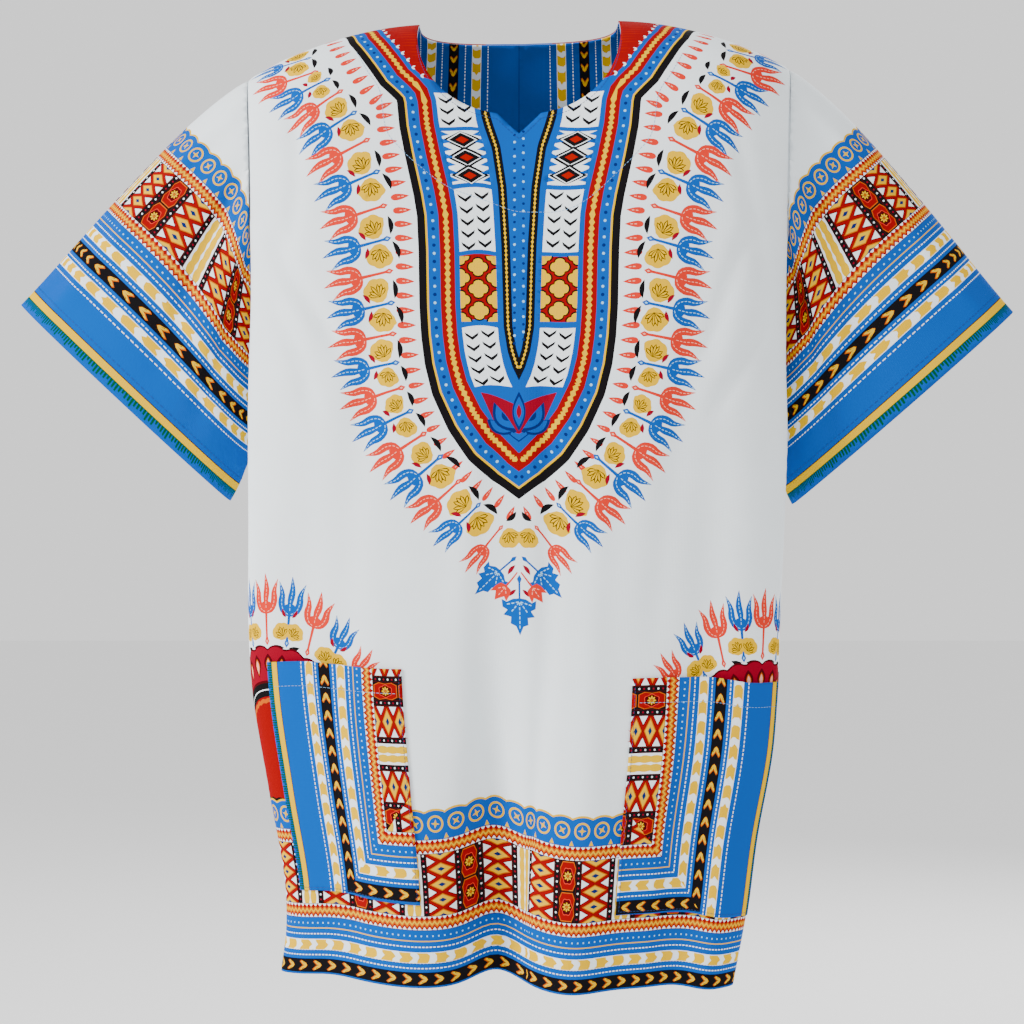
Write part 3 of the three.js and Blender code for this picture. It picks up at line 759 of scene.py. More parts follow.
def yoke_beads(half, line):
    half.add(wave_band(line, 23.2, 1.7, 0.8, 5.2), "yellow")
    for k, (u, h) in enumerate(resampled(offset_curve(line, 12.7), 6.7)):
        if u > 1.5:
            half.add(disc(u, h, 1.25 if k % 2 else 1.5, 7), "pale" if k % 2 else "navy")


def side_leaves(half, base, foot, tall):
    for turn, size, bow in ((0.5, 0.62, 3), (0.95, 0.72, 4)):
        towards = np.array([math.cos(turn), math.sin(turn)])
        reach = size * tall * 0.9
        for grow, dye in ((1.0, "navy"), (0.78, "azure"), (0.3, "navy")):
            half.stamp([(leaf(reach * grow, 10 * grow, -bow * grow, count=10), dye)],
                       base + (1.5, 0) + towards * ((1 - grow) * reach / 2), towards)
    for deep, dye in ((0, "navy"), (1.3, "azure")):
        half.add([(0, foot + 3.2 + deep), (8 - deep, foot + 10), (7 - deep, foot + 12), (0, foot + 6 + deep)],
                 dye)


def leaf_spray(design, edge):
    """A generic leaf spray in the point below the panels. edge is the point's half outline."""
    wide, top, foot = edge[0][0], edge[0][1], edge[-1][1]
    tall = top - foot
    design.add([(-wide + 2, top - 1), (0, top - 16), (wide - 2, top - 1), (wide * 0.62, foot + 0.45 * tall),
                (0, foot + 0.2 * tall), (-wide * 0.62, foot + 0.45 * tall)], "crimson")
    base = np.array([0, foot + 0.24 * tall])
    both(design, side_leaves, base, foot, tall)
    reach = 0.66 * tall
    for grow, dye in ((1.0, "navy"), (0.76, "azure"), (0.36, "crimson")):
        design.stamp([(leaf(reach * grow, 11 * grow, count=10), dye)],
                     base + (0, (1 - grow) * reach / 2), (0, 1))


def yoke_stem(design, stem, squeeze):
    design.add(closed_half(stem), "black")
    both(design, lambda half: half.add(wave_band(stem, 3.5, 0.7, 0.5, 3.6), "yellow"))
    design.add(closed_half(offset_curve(stem, 7)), "azure")
    for k, h in enumerate(np.arange(squeeze(690.0), squeeze(500.0) + 16, -6.2)):
        for u, more in ((-3.6, 0), (3.6, 3)):
            design.add(disc(u, h + more, 1.2, 6), "pale" if k % 2 else "navy")


def yoke(design, squeeze):
    line = resampled(squeezed(YOKE, squeeze), 3.0)
    for amount, dye in YOKE_BANDS:
        design.add(closed_half(offset_curve(line, amount)), dye)
    inner = closed_half(offset_curve(line, PANELS_FROM))
    inner = inner[inner[:, 0] >= 0]
    inner = inner[np.argsort(-inner[:, 1])]
    stem = resampled(squeezed(STEM, squeeze), 3.0)
    left, right = edge_of(stem, STEM_MARGIN), edge_of(inner)
    both(design, shoulder_patch, inner[inner[:, 1] > squeeze(744.0)], right)
    both(design, yoke_beads, line)
    for top, foot, kind in YOKE_ROWS:
        both(design, yoke_row, float(squeeze(top)), float(squeeze(foot)), kind, left, right,
             squeeze is as_given)
    leaf_spray(design, inner[inner[:, 1] < squeeze(482.0)])
    yoke_stem(design, stem, squeeze)


# ---- The border: q along it, c up from the selvedge. out(points, dye) lays a shape ----
PERIOD = 102.0
COLUMNS = [("wavy", 17), ("divider", 5), ("diamond", 25.5), ("divider", 5), ("rosette", 14),
           ("divider", 5), ("diamond", 25.5), ("divider", 5)]


def rect(q0, q1, c0, c1):
    return between(np.linspace(q0, q1, max(int((q1 - q0) / 40), 1) + 1), c0, c1)


def zigzag(out, q0, q1, c0, c1):
    out(rect(q0, q1, c0, c1), "red")
    out(rect(q0, q1, c0, c0 + 0.7), "maroon")
    out(rect(q0, q1, c1 - 0.7, c1), "maroon")
    pitch, wide, middle = 4.6, c1 - c0, (c0 + c1) / 2
    for q in np.arange(q0, q1, pitch):
        for edge, way in ((c0, 1), (c1, -1)):
            out([(q + 0.3, edge + 0.4 * way), (q + pitch - 0.3, edge + 0.4 * way),
                 (q + pitch / 2, edge + 0.25 * wide * way)], "white")
    q = np.arange(q0, q1 + pitch / 2, pitch / 2)
    saw = np.where(np.arange(len(q)) % 2, 1.0, -1.0) * 0.11 * wide
    for half, dye in ((0.22, "orange"), (0.075, "yellow")):
        out(between(q, middle + saw - half * wide, middle + saw + half * wide), dye)


def ikat(out, q0, q1, c0, c1):
    """White with ragged yellow tongues."""
    out(rect(q0, q1, c0, c1), "white")
    wide = c1 - c0
    rag = [0.5, -0.7, 0.9, -0.4, 0.7]
    for k, q in enumerate(np.arange(q0 + 1, q1 - 4, 16.4)):
        rows = [(c0 + wide * (0.06 + 0.22 * i), (1.6 - abs(i - 2)) * 1.5, i) for i in range(5)]
        right = [(q + 9.6 + bow + rag[(i + k) % 5], c) for c, bow, i in rows]
        left = [(q + bow * 0.8 - rag[(i + 2 * k) % 5] * 0.8, c) for c, bow, i in rows]
        out(right + left[::-1], "yellow")


def arrows(out, q0, q1, c0, c1):
    out(rect(q0, q1, c0, c1), "black")
    middle, wide = (c0 + c1) / 2, (c1 - c0) / 2
    for q in np.arange(q0 + 1, q1 - 6, 14.4):
        for shift, dye, grow in ((0, "orange", 1.0), (1.3, "yellow", 0.86)):
            upper = [(shift + 4.6, 0), (shift + 0.8, 0.56), (shift + 2.4, 0.78 * grow), (8.2, 0.34 * grow),
                     (9.8 - shift * 0.3, 0)]
            arrow = upper + [(x, -y) for x, y in upper[-2:0:-1]]
            out([(q + x, middle + y * wide) for x, y in arrow], dye)
        for share in (-0.5, 0, 0.5):
            c = middle + share * wide
            out([(q + 4.6, c - 0.3), (q + 7.2, middle + share * 0.5 * wide), (q + 4.6, c + 0.3)], "black")


def dotted(out, q0, q1, c, width=0.9, dash=2.2, gap=1.2, dye="white"):
    for q in np.arange(q0, q1 - dash, dash + gap):
        out(box(q, q + dash, c - width / 2, c + width / 2), dye)


def cell_divider(out, a, b, c0, c1):
    out(box(a, b, c0, c1), "black")
    for k, c in enumerate(np.arange(c0 + 3, c1 - 1, 4.1)):
        out(disc((a + b) / 2, c, 0.9, 6), "white" if k % 2 else "crimson")
    for q in (a + 0.1, b - 0.6):
        out(box(q, q + 0.5, c0, c1), "maroon")


def cell_diamond(out, a, b, c0, c1):
    out(box(a, b, c0, c1), "red")
    middle, half, count = (a + b) / 2, (b - a) / 2, 4
    tall = (c1 - c0) / count
    for side in (-1, 1):
        q = middle + side * (half - 0.5)
        out(box(*sorted((middle + side * half, q)), c0, c1), "brown")
        for k in range(count):
            c = c0 + tall * (k + 0.5)
            for up, reach, dye in ((0.34, 0.62, "maroon"), (0.29, 0.54, "white")):
                out([(q, c - up * tall), (q - side * reach * half, c), (q, c + up * tall)], dye)
    for k in range(count + 1):
        c = c0 + tall * k
        for grow, dye in ((1.0, "maroon"), (0.93, "orange"), (0.76, "yellow"), (0.3, "navy")):
            shape = [(middle - 0.95 * half * grow, c), (middle, c - 0.47 * tall * grow),
                     (middle + 0.95 * half * grow, c), (middle, c + 0.47 * tall * grow)]
            out(clipped(clipped(shape, 0, 1, c0), 0, -1, -c1), dye)


def cell_rosette(out, a, b, c0, c1):
    out(box(a, b, c0, c1), "black")
    middle, tall = (a + b) / 2, (c1 - c0) / 2
    plaque = [(-0.7, -1), (0.7, -1), (1, -0.55), (0.86, 0), (1, 0.55), (0.7, 1), (-0.7, 1), (-1, 0.55),
              (-0.86, 0), (-1, -0.55)]
    angle = np.linspace(0, 2 * np.pi, 28, endpoint=False)
    for k in range(2):
        c = c0 + tall * (k + 0.5)
        for grow, dye in ((1.0, "orange"), (0.93, "red")):
            w, h = (b - a) * 0.5 * grow, tall * 0.47 * grow
            out([(middle + w * x, c + h * y) for x, y in plaque], dye)
        for size, dye in ((5.5, "coral"), (4.9, "maroon")):
            r = size * (0.92 + 0.08 * np.cos(6 * angle))
            out(np.stack([middle + r * np.cos(angle), c + 1.35 * r * np.sin(angle)], -1), dye)
        for turn in np.linspace(0, 2 * np.pi, 8, endpoint=False):
            out(spun(leaf(3.0, 1.5, count=5) + (0.9, 0), turn) + (middle, c), "yellow")
        out(disc(middle, c, 0.9, 6), "orange")


def cell_wavy(out, a, b, c0, c1):
    out(box(a, b, c0, c1), "white")
    c = np.linspace(c0, c1, 22)
    bulge = 1.1 * np.abs(np.sin(np.pi * (c - c0) / (c1 - c0) * 5))
    half = 0.125 * (b - a) + bulge
    for middle in (a + (b - a) * 0.29, a + (b - a) * 0.71):
        out(between(c, middle - half, middle + half)[:, ::-1], "yellow")


CELL = {"divider": cell_divider, "diamond": cell_diamond, "rosette": cell_rosette, "wavy": cell_wavy}


def cells(out, q0, q1, c0, c1, centre):
    """The row of panels. centre is where a wavy column's middle lies."""
    first = math.floor((q0 - centre) / PERIOD) - 1
    for k in range(first, first + int((q1 - q0) / PERIOD) + 4):
        q = centre + k * PERIOD - COLUMNS[0][1] / 2
        for kind, wide in COLUMNS:
            a, b = max(q, q0), min(q + wide, q1)
            if b - a > 1:
                def within(points, dye, a=a, b=b):
                    out(clipped(clipped(points, 1, 0, a), -1, 0, -b), dye)
                CELL[kind](within, q, q + wide, c0, c1)
            q += wide


def scallops(out, q0, q1, c0):
    """Azure strip with yellow rings and stars under a yellow scalloped edge."""
    pitch = 17.4
    q = np.arange(q0, q1 + 1.5, 1.5)
    bulge = 2.6 * np.abs(np.sin(np.pi * (q - q0) / pitch)) ** 0.7
    for more, dye in ((1.6, "yellow"), (0, "azure")):
        top = np.stack([q, c0 + 20.5 + bulge + more], -1)
        out(np.concatenate([[(q[0], c0), (q[-1], c0)], top[::-1]]), dye)
    for k, middle in enumerate(np.arange(q0 + pitch / 2, q1, pitch)):
        out(disc(middle, c0 + 12.4, 6.9, 22), "yellow")
        out(disc(middle, c0 + 12.4, 5.3, 20), "azure")
        angle = np.arange(8) * math.pi / 4 + k
        reach = np.tile((3.7, 1.2), 4)
        out(np.stack([middle + reach * np.cos(angle), c0 + 12.4 + reach * np.sin(angle)], -1), "yellow")
        foot = middle + pitch / 2
        out([(foot - 2, c0 + 0.4), (foot + 2, c0 + 0.4), (foot, c0 + 4.6)], "yellow")


def selvedge(out, q0, q1):
    """Green bristles, a gold stripe and a brown line."""
    teeth = []
    for k, q in enumerate(np.arange(q0, q1, 1.95)):
        tip = 4.1 + 1.3 * math.sin(k * 1.1) + 1.0 * math.sin(k * 2.7)
        teeth += [(q, 9.0), (q + 0.25, tip), (q + 1.2, tip + 0.2), (q + 1.45, 9.0)]
    out(teeth + [(q1, 9.0), (q1, 12), (q0, 12)], "green")
    out(rect(q0, q1, 9.8, 15.9), "yellow")
    out(rect(q0, q1, 15.9, 16.7), "brown")


def border(out, q0, q1, centre, with_selvedge=True, with_top=True):
    """The whole border from the selvedge up."""
    out(rect(q0, q1, 0, 108), "azure")
    if with_selvedge:
        selvedge(out, q0, q1)
    for c in (43.5, 59.8, 77.2, 94.2):
        dotted(out, q0, q1, c)
    ikat(out, q0, q1, 48, 57)
    arrows(out, q0, q1, 63, 74)
    ikat(out, q0, q1, 81, 90)
    out(rect(q0, q1, 98.4, 99.3), "yellow")
    dotted(out, q0, q1, 103, 1.3, 1.3, 4.0, "pale")
    zigzag(out, q0, q1, 107.5, 119)
    cells(out, q0, q1, 119, 168.5, centre)
    if with_top:
        scallops(out, q0, q1, 180)
        zigzag(out, q0, q1, 168.5, 180)


HEM_FROM = 61.5  # where on the border the hem is cut


# ---- Red arches with drops and a fan of tulips, one on each side of a panel ----
DOME = np.array([213.0, 170.0])  # centre of an arch's round top
DOME_FOOT = 139.0


def on_dome(angle, wide, tall):
    return DOME + np.stack([wide * np.sin(angle), tall * np.cos(angle)], -1)


def arch(wide, tall, bulge=0.0, pitch=8.0):
    angle = np.linspace(-np.pi / 2, np.pi / 2, 97)
    more = bulge * np.abs(np.sin(angle * pitch)) ** 0.7
    down = np.linspace(DOME[1], DOME_FOOT, 6)[1:]
    right = np.stack([np.full(5, DOME[0] + wide), down], -1)
    left = np.stack([np.full(5, DOME[0] - wide), down[::-1]], -1)
    return np.concatenate([on_dome(angle, wide + more, tall + more), right, left])


def dome_tulips(half):
    for k in range(-6, 7):
        angle = math.radians(12.6 * k)
        start, end = on_dome(angle, 84.5, 99.5), on_dome(angle, 122, 159)
        size = np.hypot(*(end - start))
        half.stamp(TULIPS["azure" if k % 2 else "coral"], start, end - start, size / TULIP_LENGTH)
        if k % 2 == 0:
            continue
        along = (end - start) / size
        for turn in (1, -1):
            side = left_of(along) * turn
            half.stamp(flower(k + turn), start + 0.12 * size * along + side * 1.8, along + 0.8 * side, 0.72)
            half.stamp([(leaf(10, 3.7, 1.0), "black")], start + side * 2, side + 0.12 * along,
                       flip=turn < 0)
            half.stamp([(leaf(8, 3, 0.8), "crimson")], start + 0.42 * size * along + side * 2.6,
                       along + 0.6 * side, flip=turn < 0)


def dome_arches(half):
    half.add(arch(80.8, 96.8, 3.4, 15), "maroon")
    half.add(arch(79.4, 95.4, 3.4, 15), "crimson")
    for k in range(-8, 9):
        angle = math.radians(10.6 * k)
        start, end = on_dome(angle, 61, 74), on_dome(angle, 78, 94)
        half.stamp([(leaf(20, 9.4, blunt=0.6), "maroon"), (leaf(15, 5.4, blunt=0.6) + (1.6, 0), "orange"),
                    (leaf(12, 3.4, blunt=0.6) + (3, 0), "blush")], start, end - start,
                   np.hypot(*(end - start)) / 21)
    for wide, tall, dye in ((60, 71, "maroon"), (58, 69, "black"), (53.4, 64, "white"), (52.6, 63, "black"),
                            (48, 58, "red")):
        half.add(arch(wide, tall), dye)
    half.add(arch(45.4, 55.4, 1.4, 22), "orange")
    half.add(arch(42.4, 52.0, 1.4, 22), "red")
    reach = 84
    q = np.arange(DOME[0] - reach, DOME[0] + reach + 1, 2.0)
    foot = np.stack([q, DOME_FOOT - 3 + 1.5 * np.abs(np.sin(q * 0.32))], -1)
    half.add(np.concatenate([[(DOME[0] - reach, DOME_FOOT - 9)], foot + (0, 7),
                             [(DOME[0] + reach, DOME_FOOT - 9)]]), "black")
    half.add(np.concatenate([foot + (0, 4), (foot + (0, 3))[::-1]]), "white")


# ---- The whole designs ----
def mirrored_level(side, points):
    """Moves a left half's points up or down, to hang level with the right half's."""
    rise, drops = TABLES[side]
    share, h = points[:, 0] / PANEL_HALF, points[:, 1]
    drop = sampled(drops, SHARES, RISES, np.abs(share), h)
    weight = smooth((h - 230) / 120) * smooth((840 - h) / 60)
    moved = sampled(rise, SHARES, DROPS, np.clip(share, -1, 1), drop)
    return np.stack([points[:, 0], h + (moved - h) * weight * (share < 0)], -1)


def panel_design(side):
    design = Design("white")
    squeeze = as_given if side == "front" else shortened
    ring(design, squeeze)
    yoke(design, squeeze)
    design.shapes = [(mirrored_level(side, points), dye) for points, dye in design.shapes]
    both(design, dome_tulips)
    both(design, dome_arches)
    border(lambda points, dye: design.add(np.asarray(points) - (0, HEM_FROM), dye), -330, 330, 0.0,
           with_selvedge=False)
    return design


def sleeve_design():
    design = Design("white")
    border(design.add, -2, SLEEVE_ROUND + 2, SLEEVE_ROUND * 0.25)
    return design


def pocket_design(hand, inner, outer, foot, top):
    """The border turns a corner: up the outer edge, then in along the foot."""
    design = Design("azure")
    fold = 3.5  # where on the border the outer edge is turned in
    scale = (outer - inner) / 145

    def lay(points, dye):
        design.add((hand * outer, foot) + points * (-hand, 1), dye)

    def up_edge(points, dye):  # q runs up the pocket, c in from its outer edge
        q, c = np.asarray(points, float).reshape(-1, 2).T
        lay(clipped(np.stack([(c - fold) * scale, q], -1), -1 / scale, 1, fold - HEM_FROM), dye)

    def along_foot(points, dye):  # q runs in from the outer edge, c up from the foot
        points = np.asarray(points, float).reshape(-1, 2) - (0, HEM_FROM)
        lay(clipped(points, 1 / scale, -1, HEM_FROM - fold), dye)

    tall = top - foot
    border(up_edge, -4, tall + 4, tall - 69, with_top=False)
    border(along_foot, -4, outer - inner + 4, 93, with_selvedge=False, with_top=False)
    return design


FACING_HEIGHTS = (560, 860)  # where the stripes start and end, up from the hem


def facing_stripes(half):
    """Stripes that run up the cloth, by how far they lie from the centre line."""
    low, high = FACING_HEIGHTS

    def out(points, dye):
        points = np.asarray(points, float)
        half.add(np.stack([points[:, 1], low + high - points[:, 0]], -1), dye)

    dotted(out, low, high, 28)
    ikat(out, low, high, 34, 42.5)
    dotted(out, low, high, 48.5)
    arrows(out, low, high, 54.5, 63.5)
    dotted(out, low, high, 69.5)
    ikat(out, low, high, 75, 83.5)
    dotted(out, low, high, 89.5)
    out(rect(low, high, 93, 94), "yellow")
    zigzag(out, low, high, 98, 109)


def facing_design():
    design = Design("azure")
    both(design, facing_stripes)
    # The thin navy line down the centre is painted shade: the dark line of a small crease, not print.
    design.add(box(-0.3, 0.3, FACING_HEIGHTS[0], FACING_HEIGHTS[1] + 10), "navy")
    return design


# ---- Cutting a design into a mesh ----
def signed_area(points):
    x, y = points[:, 0], points[:, 1]
    return 0.5 * np.sum(x * np.roll(y, -1) - np.roll(x, -1) * y)


def fine(points, most=7.0):
    """The outline with its long edges divided."""
    ahead = np.roll(points, -1, 0)
    parts = np.maximum(np.ceil(np.linalg.norm(ahead - points, axis=1) / most), 1).astype(int)
    if parts.max() == 1:
        return points
    return np.concatenate([a + (b - a) * (np.arange(n) / n)[:, None]
                           for a, b, n in zip(points, ahead, parts)])


def cut(outline, design, step):
    """Triangles of the flat cloth inside the outline, each with its dye."""
    low, high = outline.min(0), outline.max(0)
    vertices, faces, dyes = [], [], []
    count = 0
    for points, dye in [(outline, NAMES.index(design.ground))] + design.shapes:
        if (points.max(0) < low).any() or (points.min(0) > high).any():
            continue
        size = signed_area(points)
        if abs(size) < 0.05:
            continue
        points = fine(points if size > 0 else points[::-1])
        vertices.append(points)
        faces.append(list(range(count, count + len(points))))
        dyes.append(dye)
        count += len(points)
    u = np.arange(low[0] + step / 2, high[0], step)
    h = np.arange(low[1] + step / 2, high[1], step * 0.866)
    uu, hh = np.meshgrid(u, h)
    uu = uu + (np.arange(len(h)) % 2)[:, None] * step / 2
    vertices.append(np.stack([uu.ravel(), hh.ravel()], -1))
    made = delaunay_2d_cdt([Vector(p) for p in np.concatenate(vertices)], [], faces, 1, 1e-4)
    points = np.array([tuple(v) for v in made[0]])
    triangles, colours = [], []
    for face, origins in zip(made[2], made[5]):
        if 0 in origins and len(face) == 3:
            triangles.append(face)
            colours.append(dyes[max(origins)])
    triangles = np.array(triangles)
    used = np.unique(triangles)
    place = np.full(len(points), -1)
    place[used] = np.arange(len(used))
    return points[used], place[triangles], np.array(colours)


def showing_through(flat, triangles, colours, at, cell=8.0):
    """The faded dyes round each point, blurred as they show through the cloth."""
    a, b, c = (flat[triangles[:, k]] for k in range(3))
    size = 0.5 * np.abs((b - a)[:, 0] * (c - a)[:, 1] - (b - a)[:, 1] * (c - a)[:, 0])[:, None]
    low = flat.min(0) - cell
    rows, columns = (np.ceil((flat.max(0) - low) / cell) + 2).astype(int)
    spot = (((a + b + c) / 3 - low) / cell).astype(int)
    total = np.zeros((rows, columns, 4))
    np.add.at(total, (spot[:, 0], spot[:, 1]), np.concatenate([FADED[colours] * size, size], 1))
    place = (at - low) / cell - 0.5
    first = np.floor(place).astype(int)
    mix = 0
    for i in (0, 1):
        for j in (0, 1):
            weight = np.prod(np.where([i, j], place - first, 1 - place + first), axis=1)[:, None]
            mix = mix + weight * total[first[:, 0] + i, first[:, 1] + j]
    return mix[:, :3] / np.maximum(mix[:, 3:], 1e-9)


def rim_of(triangles):
    """The edges that only one triangle has, and those triangles."""
    sides = np.concatenate([triangles[:, [0, 1]], triangles[:, [1, 2]], triangles[:, [2, 0]]])
    owner = np.tile(np.arange(len(triangles)), 3)
    _, index, count = np.unique(np.sort(sides, 1), axis=0, return_index=True, return_counts=True)
    alone = index[count == 1]
    return sides[alone], owner[alone]


def in_order(rim):
    """The rim's points, one after another."""
    ahead = dict(rim.tolist())
    loop = [int(rim[0, 0])]
    while ahead[loop[-1]] != loop[0]:
        loop.append(ahead[loop[-1]])
    return np.array(loop)


def bake_map(flat, inner_flat, faces, rim, gap=6):
    """The outer face beside the inner one, and the rim's faces on the outer face's edge."""
    low = flat.min(0)
    wide, long = flat.max(0) - low
    size = max(2 * wide + gap, long) * 1.01
    spot = np.concatenate([flat - low, inner_flat - low + (wide + gap, 0)]) / size + 0.002
    uv = spot[faces.ravel()]
    edges = np.concatenate([rim[:, [1, 0, 0]], rim[:, [1, 0, 1]]]).ravel()
    uv[-len(edges):] = spot[edges] + (np.arange(len(edges)) % 3)[:, None] * 1e-4
    return uv


def linked(name, data):
    thing = bpy.data.objects.new(name, data)
    bpy.context.scene.collection.objects.link(thing)
    return thing


def cloth_mesh(name, vertices, faces, dye, maps):
    """A mesh of triangles with a dye for each of their corners. maps holds its UV maps by name."""
    mesh = bpy.data.meshes.new(name)
    mesh.vertices.add(len(vertices))
    mesh.vertices.foreach_set("co", vertices.astype(np.float32).ravel())
    mesh.loops.add(faces.size)
    mesh.loops.foreach_set("vertex_index", faces.astype(np.int32).ravel())
    mesh.polygons.add(len(faces))
    mesh.polygons.foreach_set("loop_start", np.arange(0, faces.size, 3, dtype=np.int32))
    mesh.polygons.foreach_set("use_smooth", np.ones(len(faces), bool))
    mesh.update(calc_edges=True)
    mesh.validate()
    colours = mesh.color_attributes.new("dye", "FLOAT_COLOR", "CORNER")
    rgba = np.concatenate([dye, np.ones((faces.size, 1))], 1)
    colours.data.foreach_set("color", rgba.astype(np.float32).ravel())
    for title, uv in maps.items():
        mesh.uv_layers.new(name=title).data.foreach_set("uv", uv.astype(np.float32).ravel())
    mesh.materials.append(COTTON)
    return mesh


CLOTH = 0.9  # how thick the cloth is drawn
INNER_STEP = 6.0  # the coarser inner face's triangles


def printed_cloth(name, outline, design, surface, step=7.0, thick=None, under=0.0, inward=False,
                  blurred=False):
    """A closed thin shell of cloth with its print, as one object in metres.

    The print faces the wearer where inward. Where blurred, the inner face has a coarser mesh.
    """
    flat, triangles, colours = cut(outline, design, step)
    points, normals = surface(flat)
    outer = points - normals * under
    a, b, c = (outer[triangles[:, k]] for k in range(3))
    turned_over = np.median(np.einsum("ij,ij->i", np.cross(b - a, c - a), normals[triangles[:, 0]])) < 0
    if turned_over:
        triangles = triangles[:, ::-1]
    rim, owner = rim_of(triangles)
    total = len(flat)
    behind = np.arange(total) + total  # each outer point's inner one
    if blurred:
        loop = in_order(rim)
        inner_flat, inner_triangles, _ = cut(flat[loop], Design(design.ground), INNER_STEP)
        behind[loop] = total + np.array([np.argmin(np.sum((inner_flat - p) ** 2, 1)) for p in flat[loop]])
        if not turned_over:
            inner_triangles = inner_triangles[:, ::-1]
        points, normals = surface(inner_flat)
        inside_dye = showing_through(flat, triangles, colours, inner_flat)[inner_triangles.ravel()]
    else:
        inner_flat, inner_triangles = flat, triangles[:, ::-1]
        inside_dye = np.repeat(FADED[colours], 3, 0)
    thickness = np.full(len(inner_flat), CLOTH) if thick is None else thick(inner_flat)
    inner = points - normals * (under + thickness)[:, None]
    faces = np.concatenate([triangles, inner_triangles + total,
                            np.stack([rim[:, 1], rim[:, 0], behind[rim[:, 0]]], -1),
                            np.stack([rim[:, 1], behind[rim[:, 0]], behind[rim[:, 1]]], -1)])
    rim_dye = np.repeat(PALETTE[colours[owner]], 3, 0)
    outside_dye = np.repeat(PALETTE[colours], 3, 0)
    if inward:
        outside_dye, inside_dye = inside_dye, outside_dye
    dye = np.concatenate([outside_dye, inside_dye, rim_dye, rim_dye])
    weave = (np.concatenate([flat, inner_flat]) * MM)[faces.ravel()]
    maps = {"weave": weave, "OFBake": bake_map(flat, inner_flat, faces, rim)}
    mesh = cloth_mesh(name, np.concatenate([outer, inner]) * MM, faces, dye, maps)
    return linked(name, mesh)


# ---- Materials ----
def made(nodes, kind, **values):
    """A new node with some inputs' values set."""
    node = nodes.new(kind)
    for socket, value in values.items():
        node.inputs[socket.replace("_", " ")].default_value = value
    return node


def new_material(name, rough):
    material = bpy.data.materials.new(name)
    material.use_nodes = True
    shader = material.node_tree.nodes["Principled BSDF"]
    shader.inputs["Roughness"].default_value = rough
    return material, shader


def cotton(name):
    """Plain-weave cotton dyed by the mesh's colours, with a fine weave and uneven dye."""
    material, shader = new_material(name, 0.9)
    nodes, link = material.node_tree.nodes, material.node_tree.links.new
    shader.inputs["Specular IOR Level"].default_value = 0.06
    dye, weave = nodes.new("ShaderNodeAttribute"), nodes.new("ShaderNodeUVMap")
    dye.attribute_name, weave.uv_map = "dye", "weave"
    noise = made(nodes, "ShaderNodeTexNoise", Scale=26.0, Detail=3.0)
    link(weave.outputs["UV"], noise.inputs["Vector"])
    shade = made(nodes, "ShaderNodeMapRange", To_Min=0.95, To_Max=1.04)
    link(noise.outputs["Fac"], shade.inputs["Value"])
    tint = nodes.new("ShaderNodeVectorMath")
    tint.operation = "SCALE"
    link(dye.outputs["Color"], tint.inputs[0])
    link(shade.outputs["Result"], tint.inputs["Scale"])
    link(tint.outputs["Vector"], shader.inputs["Base Color"])
    both_ways = nodes.new("ShaderNodeMath")
    both_ways.operation = "ADD"
    for k, axis in enumerate("XY"):
        threads = made(nodes, "ShaderNodeTexWave", Scale=260.0, Distortion=0.6)
        threads.bands_direction = axis
        link(weave.outputs["UV"], threads.inputs["Vector"])
        link(threads.outputs["Fac"], both_ways.inputs[k])
    relief = made(nodes, "ShaderNodeBump", Strength=0.25, Distance=0.0002)
    link(both_ways.outputs["Value"], relief.inputs["Height"])
    link(relief.outputs["Normal"], shader.inputs["Normal"])
    return material


def thread(name, tone):
    """Sewing thread with a grain from darker to its own tone."""
    material, shader = new_material(name, 0.7)
    nodes, link = material.node_tree.nodes, material.node_tree.links.new
    grain = made(nodes, "ShaderNodeTexNoise", Scale=900.0)
    ramp = nodes.new("ShaderNodeValToRGB")
    ramp.color_ramp.elements[0].color = (*(0.75 * c for c in tone), 1)
    ramp.color_ramp.elements[1].color = (*tone, 1)
    link(grain.outputs["Fac"], ramp.inputs["Fac"])
    link(ramp.outputs["Color"], shader.inputs["Base Color"])
    return material


COTTON = cotton("printed_cotton")
THREAD_PALE = thread("thread_pale", (0.22, 0.42, 0.68))
THREAD_BLUE = thread("thread_blue", (0.002, 0.035, 0.18))


# ---- Panels and sleeves ----
HEM_POINTS = 70


def panel_outline(side):
    """Round a panel: hem, side seam, armhole, shoulder and neck of its right half, then of its left one."""
    neck = NECK_COLUMN * np.sin(np.linspace(np.pi / 2, 0, 80))
    edges = [(np.linspace(0, 1, HEM_POINTS), np.full(HEM_POINTS, float(LENGTH))),
             (np.ones(90), np.linspace(LENGTH, ARM_DEPTH, 90)),
             (np.ones(60), np.linspace(ARM_DEPTH, 0, 60)),
             (np.linspace(1, NECK_COLUMN, 50), np.zeros(50)),
             (neck, neck_edge(side, neck))]
    halves = []
    for hand in (1, -1):
        half = np.concatenate([flat_of(side, hand * across, drop)[min(k, 1):]
                               for k, (across, drop) in enumerate(edges)])
        half[:HEM_POINTS, 1] = 0
        halves.append(half)
    return np.concatenate([halves[0], halves[1][1:-1][::-1]])


def hemmed(width, top=0.0, more=0.8):
    """Thickness of cloth with a turned hem, doubled within width of its foot, or of a top edge."""
    return lambda flat: CLOTH + more * smooth((width - np.abs(top - flat[:, 1])) / 1.2 + 0.5)


SURFACES = {side: panel_surface(side) for side in ("front", "back")}
pieces = {}
for side, surface in SURFACES.items():
    pieces[side] = printed_cloth(f"{side}_cloth", panel_outline(side), panel_design(side), surface,
                                 thick=hemmed(20.0), blurred=True)

sleeve_print = sleeve_design()
for hand in CUFFS:
    node = f"sleeve_{hand}"
    SURFACES[node], outline = sleeve_surface(hand)
    pieces[node] = printed_cloth(f"{node}_cloth", outline, sleeve_print, SURFACES[node], thick=hemmed(22.0))

